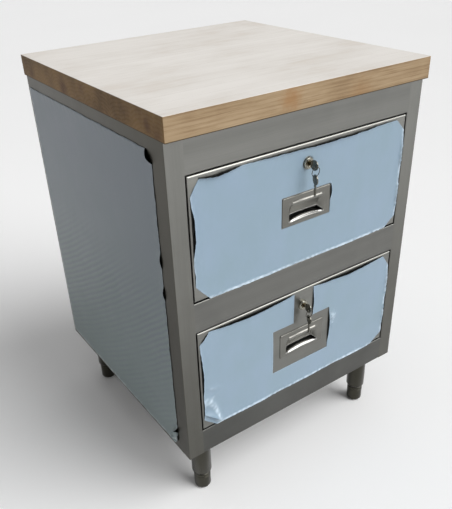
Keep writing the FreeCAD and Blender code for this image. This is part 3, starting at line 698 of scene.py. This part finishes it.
def lower_folds(u, v):
    """Soft folds at the left edge, crumples on the right and lower left, and a ridge round that corner."""
    folds = 1.3 * patch(u, v + 0.35 * (u + 240), -236, 17, 318, 5)
    folds += 1.1 * patch(u, v - 0.60 * (u + 240), -240, 15, 292, 4.5)
    folds += 7.5 * creases(u, v, 5, 7, 4.1) * patch(u, v, 90, 10, 354, 18)
    folds += 2.2 * creases(u, v, 5, 9, 6.3) * patch(u, v, right, 8)
    folds += 2.2 * creases(u, v, 9, 9, 8.8) * patch(u, v, -236, 24, 222, 26)
    from_ridge = hypot((u - left) / 37, (v - bottom) / 76) - 1
    return folds + 2.0 * exp(-(from_ridge * 6) ** 2)


lower_loose = [
    ((strip_left + 1, top), (-240, top), 6, 132), ((242, top), (strip_right, top), 6, 130),
    ((-238, top), (left, 436), 3.6, 70), ((left, 438), (left, 292), 9, 82),
    ((left, 300), (left, 240), 6, 60), ((left, 262), (-214, bottom), 20, 66),
    ((-226, bottom), (-60, bottom), 6, 78), ((-66, bottom), (100, bottom), 5, 70),
    ((94, bottom), (226, bottom), 6.5, 82), ((strip_right, top - 3), (strip_right, patch_high - 6), 4.5, 88),
    ((patch_right, patch_high), (patch_right, 288), 5, 100),
    ((patch_left, patch_low + 8), (patch_left, patch_high - 4), 4, 34),
    ((right, 250), (right, 340), 6, 64), ((right, 335), (right, 430), 6.5, 72),
]
corners = [((left, 244), (-232, bottom)), ((-238, top), (left, 435)), ((228, bottom), (right, 240)),
           ((right, 428), (240, top))]
torn_out = [((patch_left, patch_low), (patch_right, patch_high)),
            ((strip_left, patch_high - 1), (strip_right, top + 1))]
film_sheet("lower_film_sheet", (left, bottom), (right, top), 2.4, corners, torn_out, [], lower_loose,
           lower_folds, on_front, "lower_drawer", ("lower_film",), film_blue)

# %% [markdown]
# ## The sides' film
#
# Where the roller dragged, fine ripples run across the lower half of this film. They are real waves in the
# mesh, up to half a millimetre high, in step with painted sheen bands in its colour.

# %% Side films
side_low, side_high = (41.0, 160.0), (588.0, 822.0)
(front, floor_v), (back, ceiling_v) = side_low, side_high


def ripples(u, v):
    """Waves where the roller dragged, and bunched film at the lower front corner."""
    strength = blend_in(v, 170, 230) * (1 - blend_in(v, 470, 600))
    strength *= blend_in(noise((u / 120, v / 60, 4.4)), -0.40, 0.20)
    drift = 6.0 * noise((u / 150, v / 150, 2.0))
    turns = (v + u * (ripple_lean - u * mm * ripple_curve) + drift) * mm / ripple_pitch
    waves = 0.25 * strength * (1 + sin(2 * pi * turns))
    return waves + 6.5 * creases(u, v, 8, 11, 1.7) * patch(u, v, 50, 13, 178, 17)


side_loose = [
    ((front, 806), (front, 640), 1.3, 20), ((front, 636), (front, 600), 4.5, 66),
    ((front, 564), (front, 534), 4.8, 66), ((front, 520), (front, 210), 1.2, 18),
    ((front, 214), (front + 16, floor_v), 16, 96), ((front + 20, ceiling_v), (front, 798), 9, 74),
    ((front + 14, floor_v), (back - 10, floor_v), 3, 40),
]
corners = [((front + 19, ceiling_v), (front, 799)), ((front, 178), (front + 14, floor_v))]
for side, place in on_side.items():
    film_sheet(side + "_film_sheet", side_low, side_high, 4.0, corners, [], [], side_loose, ripples, place,
               "cabinet", (side + "_side_film",), film_painted_shade)

# %% [markdown]
# ## Turned parts
#
# Most small hardware is turned: a bezel, a foot, a screw head. That is one outline spun round an axis. Screws
# and locks then need a hole that isn't round. The open rim at the top is extruded inwards onto the hole's
# outline, given as a distance for every angle, and then down to the hole's floor.

# %% Spin an outline, and cut a shaped recess
def lathe(outline, steps=64):
    """A turned part about +Z from (radius, height) pairs in millimetres."""
    part = bmesh.new()
    points = [part.verts.new((radius, 0.0, height)) for radius, height in outline]
    edges = [part.edges.new(pair) for pair in zip(points, points[1:])]
    bmesh.ops.spin(part, geom=points + edges, cent=(0, 0, 0), axis=(0, 0, 1), angle=2 * pi, steps=steps,
                   use_merge=True)
    bmesh.ops.remove_doubles(part, verts=part.verts, dist=1e-4)
    return part


def hexagon(outline):
    """The same with six sides, two of them square to X."""
    part = lathe(outline, 6)
    part.transform(Matrix.Rotation(radians(30), 4, "Z"))
    return part


def extrude_rim(shape, rim):
    """Extrude open edges, and give the new vertices and the new rim."""
    made = bmesh.ops.extrude_edge_only(shape, edges=rim)["geom"]
    moved = {item for item in made if isinstance(item, bmesh.types.BMVert)}
    edges = [item for item in made if isinstance(item, bmesh.types.BMEdge)]
    return moved, [edge for edge in edges if moved.issuperset(edge.verts)]


def recess(part, height, depth, outline):
    """Close the open rim at this height with a sunken shape."""
    rim = [edge for edge in part.edges
           if edge.is_boundary and min(vertex.co.z for vertex in edge.verts) > height - 1e-4]
    for drop in (0.0, depth):
        moved, rim = extrude_rim(part, rim)
        for vertex in moved:
            angle = atan2(vertex.co.y, vertex.co.x)
            distance = outline(angle)
            vertex.co = (distance * cos(angle), distance * sin(angle), height - drop)
    bmesh.ops.contextual_create(part, geom=rim)


def rectangle_outline(half_x, half_y):
    return lambda angle: 1 / max(abs(cos(angle)) / half_x, abs(sin(angle)) / half_y)


def cross_outline(arm, half_width):
    wide, tall = rectangle_outline(arm, half_width), rectangle_outline(half_width, arm)
    return lambda angle: max(wide(angle), tall(angle))


# %% Put parts together
def join(shape, part):
    """Add one bmesh to another, by way of a mesh."""
    carrier = mesh_of("carrier", part)
    shape.from_mesh(carrier)
    bpy.data.meshes.remove(carrier)


def assemble(*placed):
    """One shape from (part, centre, axis), where each part was made about +Z in millimetres."""
    shape = bmesh.new()
    for part, centre, axis in placed:
        turn = Vector(axis).to_track_quat("Z", "Y").to_matrix().to_4x4()
        part.transform(Matrix.Translation(centre) @ turn @ Matrix.Scale(mm, 4))
        join(shape, part)
    bmesh.ops.recalc_face_normals(shape, faces=shape.faces)
    return shape


print("turning tools ready")


# %% A pan-headed screw with a cross recess
def thread_outline(radius, low, high, pitch):
    """From low to high up a screw thread, as (radius, height) pairs."""
    turns = max(1, int((high - low) / pitch))
    step = (high - low) / turns
    root = radius - 0.30 * pitch
    outline = []
    for turn in range(turns):
        base = low + turn * step
        outline += [(root, base), (radius, base + 0.5 * step)]
    return outline + [(root, high)]


def pan_screw(head_radius, head_height, shank_radius, shank_length, pitch=0.9):
    """The head's seat is at height 0 and its dome points up."""
    outline = [(0, -shank_length), (shank_radius * 0.6, -shank_length)]
    outline += thread_outline(shank_radius, -shank_length + 0.6, -0.2, pitch)
    outline += [(head_radius * wide, head_height * up)
                for wide, up in ((1, 0), (1, 0.42), (0.93, 0.72), (0.78, 0.92), (0.62, 1))]
    part = lathe(outline, 32)
    recess(part, head_height, head_height * 0.62, cross_outline(head_radius * 0.52, head_radius * 0.13))
    return part


def screws_for(name, node, body, towards_head, head_radius=4.0, head_height=2.2, shank_radius=2.0,
               wall=False):
    """One piece with a screw in the place of each solid of a node. On the walls, they face both ways."""
    placed = []
    for low, high in solids_of(node):
        middle = (low + high) / 2
        axis = Vector(towards_head) * (-1 if wall and middle.x > 0 else 1)
        length = abs((high - low).dot(axis)) / mm
        seat = middle + axis * (length / 2 - head_height) * mm
        screw = pan_screw(head_radius, head_height, shank_radius, length - head_height)
        placed.append((screw, seat, axis))
    make_piece(name, assemble(*placed), (zinc,), body, (node,))


screws_for("worktop_screws", "top_screws", "cabinet", (0, 0, -1), 5.0, 3.0, 2.5)
screws_for("back_panel_screws", "back_screws", "cabinet", (0, 1, 0))
screws_for("slide_rail_screws", "slide_screws", "cabinet", (-1, 0, 0), wall=True)
for level in levels:
    screws_for(level + "_front_screws", level + "_tray_screws", level + "_drawer", (0, 1, 0))

# %% [markdown]
# ## Legs and feet
#
# Each leg is a tube welded to a round flange, bolted up into the pan. The weld is a rough bead, which is a
# ring of the outline with a little noise. The foot is a bullet shape on a threaded stem, turned out to level
# the cabinet. Feet move on their own, so each is a piece on its own body.

# %% Legs
def upright(part, low, high):
    """Stand a part, made with its real height, in the middle of a box."""
    return part, ((low.x + high.x) / 2, (low.y + high.y) / 2, 0), (0, 0, 1)


tubes, collars = [], []
low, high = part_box("leg_inserts")
base, plug_top = low.z / mm, high.z / mm
for low, high in solids_of("leg_tubes"):
    end, top = low.z / mm, high.z / mm
    tube = lathe([(0, top), (44.2, top), (45, top - 0.8), (45, top - 3.2), (44.2, top - 4), (25.4, top - 4),
                  (24.9, top - 5.2), (23.6, top - 6.3), (22.5, top - 6.6), (22.5, end + 0.8), (22.1, end),
                  (20.8, end), (20.5, end + 0.5), (20.5, top - 4), (0, top - 4)])
    for vertex in tube.verts:
        if top - 6.5 < vertex.co.z < top - 4.5 and vertex.co.xy.length > 22.6:
            vertex.co.xy *= 1 + 0.018 * noise((vertex.co.x / 2.1, vertex.co.y / 2.1, 3.3))
    tubes.append(upright(tube, low, high))
    collar = lathe([(8.1, base), (18.6, base), (19.2, base + 0.6), (20.2, base + 2.2), (22, base + 5.2),
                    (22.4, base + 6), (20.4, base + 6), (20.4, plug_top - 0.6), (19.8, plug_top),
                    (8.1, plug_top), (8.1, base)])
    collars.append(upright(collar, low, high))
for name, parts, node in (("legs", tubes, "leg_tubes"), ("leg_collars", collars, "leg_inserts")):
    make_piece(name, assemble(*parts), (tube_steel,), "cabinet", (node,), 30)

# %% Leg bolts
flats, corner, highest_head = 5.0, 5.0 / cos(radians(30)), 0.150
placed = []
for low, high in solids_of("leg_bolts"):
    if low.z > highest_head:
        continue
    seat, tip, nut = low.z / mm + 4, high.z / mm, high.z / mm - 7
    placed += [upright(part, low, high) for part in (
        hexagon([(0, seat), (flats, seat), (corner, seat - 0.5), (corner, seat - 3.3), (flats, seat - 4),
                 (0, seat - 4)]),
        lathe([(0, seat - 1)] + thread_outline(3.0, seat - 1, tip - 0.6, 1.0) + [(2.2, tip), (0, tip)], 24),
        hexagon([(3.1, nut), (flats, nut), (corner, nut + 0.6), (corner, nut + 4.4), (flats, nut + 5),
                 (3.1, nut + 5), (3.1, nut)]))]
make_piece("leg_bolt_set", assemble(*placed), (zinc,), "cabinet", ("leg_bolts",), 25)

# %% Feet
for place in ("front_left", "front_right", "rear_left", "rear_right"):
    low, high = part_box("foot_" + place)
    stem_top = high.z / mm
    bullet = [(0, 0), (13.2, 0), (15.6, 0.6), (17.6, 2), (18.8, 4), (19.2, 6.5), (19.2, 35), (18.7, 35.5),
              (18.7, 36.7), (19.2, 37.2), (19.2, 43.2), (18.4, 44), (8, 44)]
    bullet += thread_outline(8.0, 44.0, stem_top - 1.0, 1.6) + [(6.6, stem_top), (0, stem_top)]
    make_piece("levelling_foot_" + place, assemble(upright(lathe(bullet), low, high)), (tube_steel,),
               "foot_" + place, ("foot_" + place,), 30)

# %% [markdown]
# ## Cup pulls
#
# The pull is one sheet, pressed into a raised border, a bead across the top, a panel that slopes in behind
# the bead, and a finger lip along the bottom of the mouth. That is a height over a flat sheet, so it starts
# as a fine grid with the mouth cut out, and each vertex is pushed to the depth that the press would give it.

# %% The pull's profile, in millimetres from the middle of the plate
half_width, half_height, border_out = 61.0, 30.5, 2.0
cup_half, cup_top, cup_bottom = 45.0, 15.0, -19.0
bead_half, bead_radius = 39.0, 4.6
arch_middle, scoop_depth, draft = -9.5, 10.0, 9.0


def lip_height(x):
    """Lower edge of the mouth."""
    return cup_bottom - 1.5 + 5.0 * (1 - (x / cup_half) ** 2)


def arch_height(x):
    """Lower edge of the sloping panel: nearly level, then down its end walls to the ends of the lip."""
    share = min(1.0, abs(x) / cup_half)
    fall = max(0.0, (share - 0.74) / 0.26) ** 1.3
    return arch_middle - share ** 2 - (arch_middle - 1.0 - lip_height(cup_half)) * fall


def pressed_depth(x, z):
    """How far the sheet stands out from the drawer's face, less where it goes in."""
    rim = min(half_width - abs(x), half_height - abs(z))
    out = border_out
    if rim < 1.6:
        out -= 1.7 * (1 - sqrt(max(0.0, 1 - (1 - rim / 1.6) ** 2)))
    out -= 0.30 * (1 - blend_in(rim, 5.2, 6.4))
    inward = cup_half - abs(x)
    wall = blend_in(inward, 0.0, draft) * 0.4 + min(1.0, max(0.0, inward / draft)) * 0.6
    above_arch = z - arch_height(x)
    if wall > 0 and z <= cup_top and above_arch > -0.4:
        share = min(1.0, (cup_top - z) / (cup_top - arch_middle))
        slope = border_out - scoop_depth * (1 - (1 - share) ** 1.6)
        slope += 0.7 * (1 - blend_in(above_arch, 0.0, 1.4))
        out += (slope - out) * wall
    bead = bead_radius ** 2 - (z - cup_top) ** 2 - 4.0 * max(0.0, abs(x) - (bead_half - 2.0)) ** 2
    if bead > 0:
        out = max(out, 0.6 + 0.9 * sqrt(bead))
    below_lip = lip_height(x) - z
    if below_lip > -0.4 and inward > 0:
        lip = 4.6 * blend_in(below_lip, -0.4, 3.6) - 2.2
        out += lip * (1 - blend_in(below_lip, 3.6, 7.4)) * (1 - (x / cup_half) ** 4)
    return out


def painted_highlight_amount(x, z):
    """Where the pull gets a painted highlight: all along the mouth's edges, and a little along the bead."""
    if abs(x) > cup_half:
        return 0.0
    below_lip = lip_height(x) - z
    lip = blend_in(below_lip, -1.5, 0.0) * (1 - blend_in(below_lip, 1.4, 3.4))
    arch = 0.7 * (1 - blend_in(abs(z - arch_height(x)), 0.5, 1.6))
    bead = 0.12 * (1 - blend_in(abs(z - cup_top - 1.5), 1.0, 3.2))
    return max(lip, arch, bead)


print("bead stands out", round(pressed_depth(0, cup_top), 2), "mm")

# %% The mouth
cell = 0.85
lining_steps, lining_depth = 5, -14.0


def follow_lip(x, z):
    """Bend the grid's rows so that they run along the lip instead of across it."""
    bend = lip_height(min(abs(x), cup_half)) - lip_height(0.0)
    bend *= 1 - blend_in(abs(x), cup_half, cup_half + 12)
    return bend * blend_in(z, -30.0, -18.0) * (1 - blend_in(z, -14.0, -9.5))


def cut_mouth(shape):
    """Take the mouth out of the grid, and move its border onto the lip and the arch."""
    for vertex in shape.verts:
        vertex.co.y += follow_lip(vertex.co.x, vertex.co.y)
    take_out(shape, lambda point: abs(point.x) < cup_half
             and lip_height(point.x) < point.y < arch_height(point.x))
    for vertex in shape.verts:
        x, z, _ = vertex.co
        if vertex.is_boundary and abs(x) <= cup_half + cell and abs(z) <= half_height - 2:
            vertex.co.y = min(arch_height(x), lip_height(x), key=lambda edge: abs(z - edge))


def line_mouth(shape, highlight_paint):
    """Turn the mouth's border inwards, which makes the lip's floor and the walls at its ends."""
    rim = [edge for edge in shape.edges if edge.is_boundary and all(
        abs(vertex.co.x) < cup_half + 1 and abs(vertex.co.y) < half_height - 2 for vertex in edge.verts)]
    for steps_left in range(lining_steps, 0, -1):
        moved, rim = extrude_rim(shape, rim)
        for vertex in moved:
            vertex.co.x *= 0.994
            vertex.co.y += 0.25 if vertex.co.y < arch_middle - 3.0 else 0.0
            vertex.co.z += (lining_depth - vertex.co.z) / steps_left
            # the painted highlight fades inside the mouth
            vertex[highlight_paint] *= 0.65


# %% Press each pull
sheet_thickness, corner_radius, stud_x = 0.9, 3.0, 53.5
for level in levels:
    low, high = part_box(level + "_pull_plate")
    middle_z = (low.z + high.z) / 2
    shape = flat_grid((-half_width, -half_height), (half_width, half_height), cell)
    cut_mouth(shape)
    highlight_paint = shape.verts.layers.float.new("highlight_paint")
    for vertex in shape.verts:
        x, z, _ = vertex.co
        # painted highlight along the mouth's edges and the bead
        vertex[highlight_paint] = painted_highlight_amount(x, z)
        vertex.co.z = pressed_depth(x, z)
        corner = Vector((abs(x) - half_width + corner_radius, abs(z) - half_height + corner_radius))
        if corner.x > 0 and corner.y > 0:
            rounded = corner.normalized() * max(corner)
            vertex.co.x = copysign(half_width - corner_radius + rounded.x, x)
            vertex.co.y = copysign(half_height - corner_radius + rounded.y, z)
    line_mouth(shape, highlight_paint)
    lay(shape, Matrix.Translation((0, 0, middle_z)) @ on_front)
    pull = make_piece(level + "_cup_pull", shape, (pressed_steel,), level + "_drawer",
                      (level + "_pull_plate",), 50)
    set_all(pull.modifiers.new("sheet", "SOLIDIFY"), thickness=sheet_thickness * mm, offset=-1.0)
    outline = [(0, -0.5)] + thread_outline(2.0, -0.5, 7.6, 0.8) + [(1.5, 8), (0, 8)]
    studs = [(lathe(outline, 24), (x * mm, face_y, middle_z), (0, 1, 0)) for x in (-stud_x, stud_x)]
    make_piece(level + "_pull_studs", assemble(*studs), (zinc,), level + "_drawer", (), 25)

# %% [markdown]
# ## Locks
#
# A cam lock is a threaded barrel with a polished bezel, a plug that turns in it with its key, and a cam
# screwed to the plug's back. Barrel and plug are pieces on separate bodies. The keyway is a shaped recess.

# %% Bezel, plug and cam screw
def block(size, middle):
    """A box in millimetres."""
    shape = bmesh.new()
    bmesh.ops.create_cube(shape, size=1.0)
    bmesh.ops.scale(shape, vec=size, verts=shape.verts)
    bmesh.ops.translate(shape, vec=middle, verts=shape.verts)
    return shape


bezel = [(5.56, -30), (9.2, -30)] + thread_outline(9.5, -29.6, -1.4, 1.0)
bezel += [(9, -0.6), (9, 0), (11.2, 0), (11.2, 3.4), (10.95, 4.2), (10.4, 4.75), (9.6, 5), (8.1, 5),
          (7.6, 4.75), (6.3, 4.35), (5.9, 4.35), (5.56, 4), (5.56, -30)]
for level in levels:
    centre, outwards = (0, face_y, lock_z(level) * mm), (0, -1, 0)
    make_piece(level + "_lock_barrel", assemble((lathe(bezel), centre, outwards)), (chrome,),
               level + "_drawer", (level + "_lock_housing",), 28)
    back = face_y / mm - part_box(level + "_lock_plug")[1].y / mm
    plug = lathe([(0, back + 2), (5.1, back + 2), (5.5, back + 2.4), (5.5, 3.9), (5.1, 4.5), (4.4, 4.5)])
    recess(plug, 4.5, 20.0, rectangle_outline(1.0, 3.4))
    square = block((7.0, 7.0, 2.2), (0, 0, back + 1.1))
    bmesh.ops.bevel(square, geom=square.edges[:], offset=0.3, segments=2, profile=0.5, affect="EDGES",
                    material=-1)
    shape = assemble((plug, centre, outwards), (square, centre, outwards))
    make_piece(level + "_keyed_plug", shape, (brass,), level + "_lock",
               (level + "_lock_plug",), 28)
    seat = (0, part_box(level + "_cam_screw")[1].y - 3.0 * mm, centre[2])
    screw = assemble((pan_screw(5.0, 3.0, 2.0, 12.0, 0.7), seat, (0, 1, 0)))
    make_piece(level + "_cam_fixing_screw", screw, (zinc,), level + "_lock",
               (level + "_cam_screw",), 28)

# %% [markdown]
# ## Keys and rings
#
# A key has a round bow with a hole and a sunken face, then a blade with a groove on both sides and cut to
# its bitting. The bow is a row of circles bridged into a ring. The blade is a box, divided where the cuts and
# the groove come, with those vertices moved. A split ring is wire wound twice round, which is a circle spun
# twice while it slides sideways.

# %% A key with its bow's end at the origin and its blade along +Y
key_length, bow_radius, blade_half, key_half, sunken_half = 43.5, 10.0, 3.3, 0.9, 0.62
hole_inset, hole_radius = 5.5, 2.6
cut_count, cut_width, cut_depth = 5, 3.2, 1.3
edge_wear = 0.28


def key_part():
    part = bmesh.new()
    across = Matrix.Rotation(radians(90), 4, "Y")
    one_side = [(bow_radius, bow_radius, key_half), (8.7, bow_radius, key_half),
                (8.4, bow_radius, sunken_half), (hole_radius + 1.1, hole_inset, sunken_half),
                (hole_radius + 0.8, hole_inset, key_half), (hole_radius, hole_inset, key_half)]
    loops = []
    for radius, along, height in one_side + [(r, y, -x) for r, y, x in reversed(one_side)]:
        place = Matrix.Translation((height, along, 0)) @ across
        circle = bmesh.ops.create_circle(part, segments=48, radius=radius, matrix=place)["verts"]
        loops.append({edge for vertex in circle for edge in vertex.link_edges})
    for first, second in zip(loops, loops[1:] + loops[:1]):
        bmesh.ops.bridge_loops(part, edges=list(first | second))
    start, point = 2 * bow_radius - 1.2, key_length - 3.0
    blade = block((2 * key_half, key_length - start, 2 * blade_half), (0, (key_length + start) / 2, 0))
    cuts = [point - (step + 0.5) * cut_width for step in range(cut_count)]
    for y in [cut + shift for cut in cuts for shift in (-cut_width / 2, 0.0)] + [point, start + 3.5]:
        divide(blade, (0, y, 0), (0, 1, 0))
    for z in (-1.9, -1.5, 0.1, 0.5):
        divide(blade, (0, 0, z), (0, 0, 1))
    for vertex in blade.verts:
        y, z = vertex.co.yz
        if z > blade_half - 0.01 and min(abs(y - cut) for cut in cuts) < 0.01:
            vertex.co.z -= cut_depth
        if y > start + 3.0 and -1.6 < z < 0.2:
            vertex.co.x *= 0.52
        if y > key_length - 0.01:
            vertex.co.z *= 0.18
    join(part, blade)
    bmesh.ops.recalc_face_normals(part, faces=part.faces)
    return part


def make_key(name, matrix, body, replaced):
    part = key_part()
    part.transform(matrix @ Matrix.Scale(mm, 4))
    key = make_piece(name, part, (nickel,), body, (replaced,), 30)
    set_all(key.modifiers.new("worn edges", "BEVEL"), width=edge_wear * mm, segments=2, limit_method="ANGLE",
            angle_limit=radians(35))


# %% Set the keys and wind the rings
wire_radius, ring_radius, wire_pitch, wire_steps = 0.42, 9.9, 0.85, 160
quarter, ring_turn, spare_turn = radians(90), radians(4), radians(16)
for level in levels:
    low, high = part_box(level + "_key")
    make_key(level + "_key_in_lock", Matrix.Translation((0, low.y, (low.z + high.z) / 2)), level + "_lock",
             level + "_key")
    hole_y = low.y + hole_inset * mm
    low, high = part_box(level + "_spare_key")
    hang = Matrix.Translation((0, hole_y, high.z - hole_inset * mm)) @ Matrix.Rotation(-spare_turn, 4, "Z")
    hang = hang @ Matrix.Rotation(-quarter, 4, "X") @ Matrix.Translation((0, -hole_inset * mm, 0))
    make_key(level + "_hanging_key", hang, level + "_spare", level + "_spare_key")
    low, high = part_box(level + "_key_ring")
    wire = bmesh.new()
    start = Matrix.Translation((ring_radius, 0, -wire_pitch)) @ Matrix.Rotation(quarter, 4, "X")
    bmesh.ops.create_circle(wire, segments=12, radius=wire_radius, cap_ends=True, matrix=start)
    bmesh.ops.spin(wire, geom=wire.verts[:] + wire.edges[:] + wire.faces[:], cent=(0, 0, 0), axis=(0, 0, 1),
                   angle=4 * pi, steps=wire_steps, dvec=(0, 0, 2 * wire_pitch / wire_steps))
    ring = assemble((wire, (low + high) / 2, (-sin(ring_turn), cos(ring_turn), 0)))
    make_piece(level + "_split_ring", ring, (nickel,), level + "_ring",
               (level + "_key_ring",), 40)

# %% [markdown]
# ## Floor and light
#
# The floor is a pale disc that isn't part of the object. A wide soft sun from the right front leaves the
# left side in shade, as one big window would. The sky is brightest low down, where the steel reflects it.

# %% Floor
paint = Finish("studio_floor", {"Roughness": 0.9, "Specular IOR Level": 0.2})
paint.feed("Base Color", paint.mix(paint.cloud(0.8), (0.95, 0.95, 0.95), (0.98, 0.98, 0.98)))
disc = bmesh.new()
bmesh.ops.create_circle(disc, cap_ends=True, segments=96, radius=18.0)
floor = add_object("floor", mesh_of("floor", disc))
floor.data.materials.append(paint.data)
print("floor", [round(size, 1) for size in floor.dimensions], "m")


# %% World and lamps
def lamp(name, kind, place, target, **settings):
    """A lamp that faces a point."""
    made = add_object(name, set_all(bpy.data.lights.new(name, kind), **settings))
    made.location = place
    made.rotation_euler = (Vector(target) - Vector(place)).to_track_quat("-Z", "Y").to_euler()


sky = Finish("studio", {"Strength": 1.0}, bpy.data.worlds, "Background")
height = sky.axes("Generated")[2]
sky.feed("Color", sky.ramp(height, (0.02, (0.88, 0.88, 0.88)), (0.34, (0.30, 0.30, 0.30))))
bpy.context.scene.world = sky.data
bpy.context.scene.view_settings.view_transform = "Standard"
lamp("window_light", "SUN", (1.5, -2.0, 2.7), (0, 0, 0.5), energy=2.6, angle=radians(50))
lamp("overhead_softbox", "AREA", (0.0, -0.2, 3.0), (0, 0, 0.8), energy=8.0, size=2.0)
print("lamps", 2)
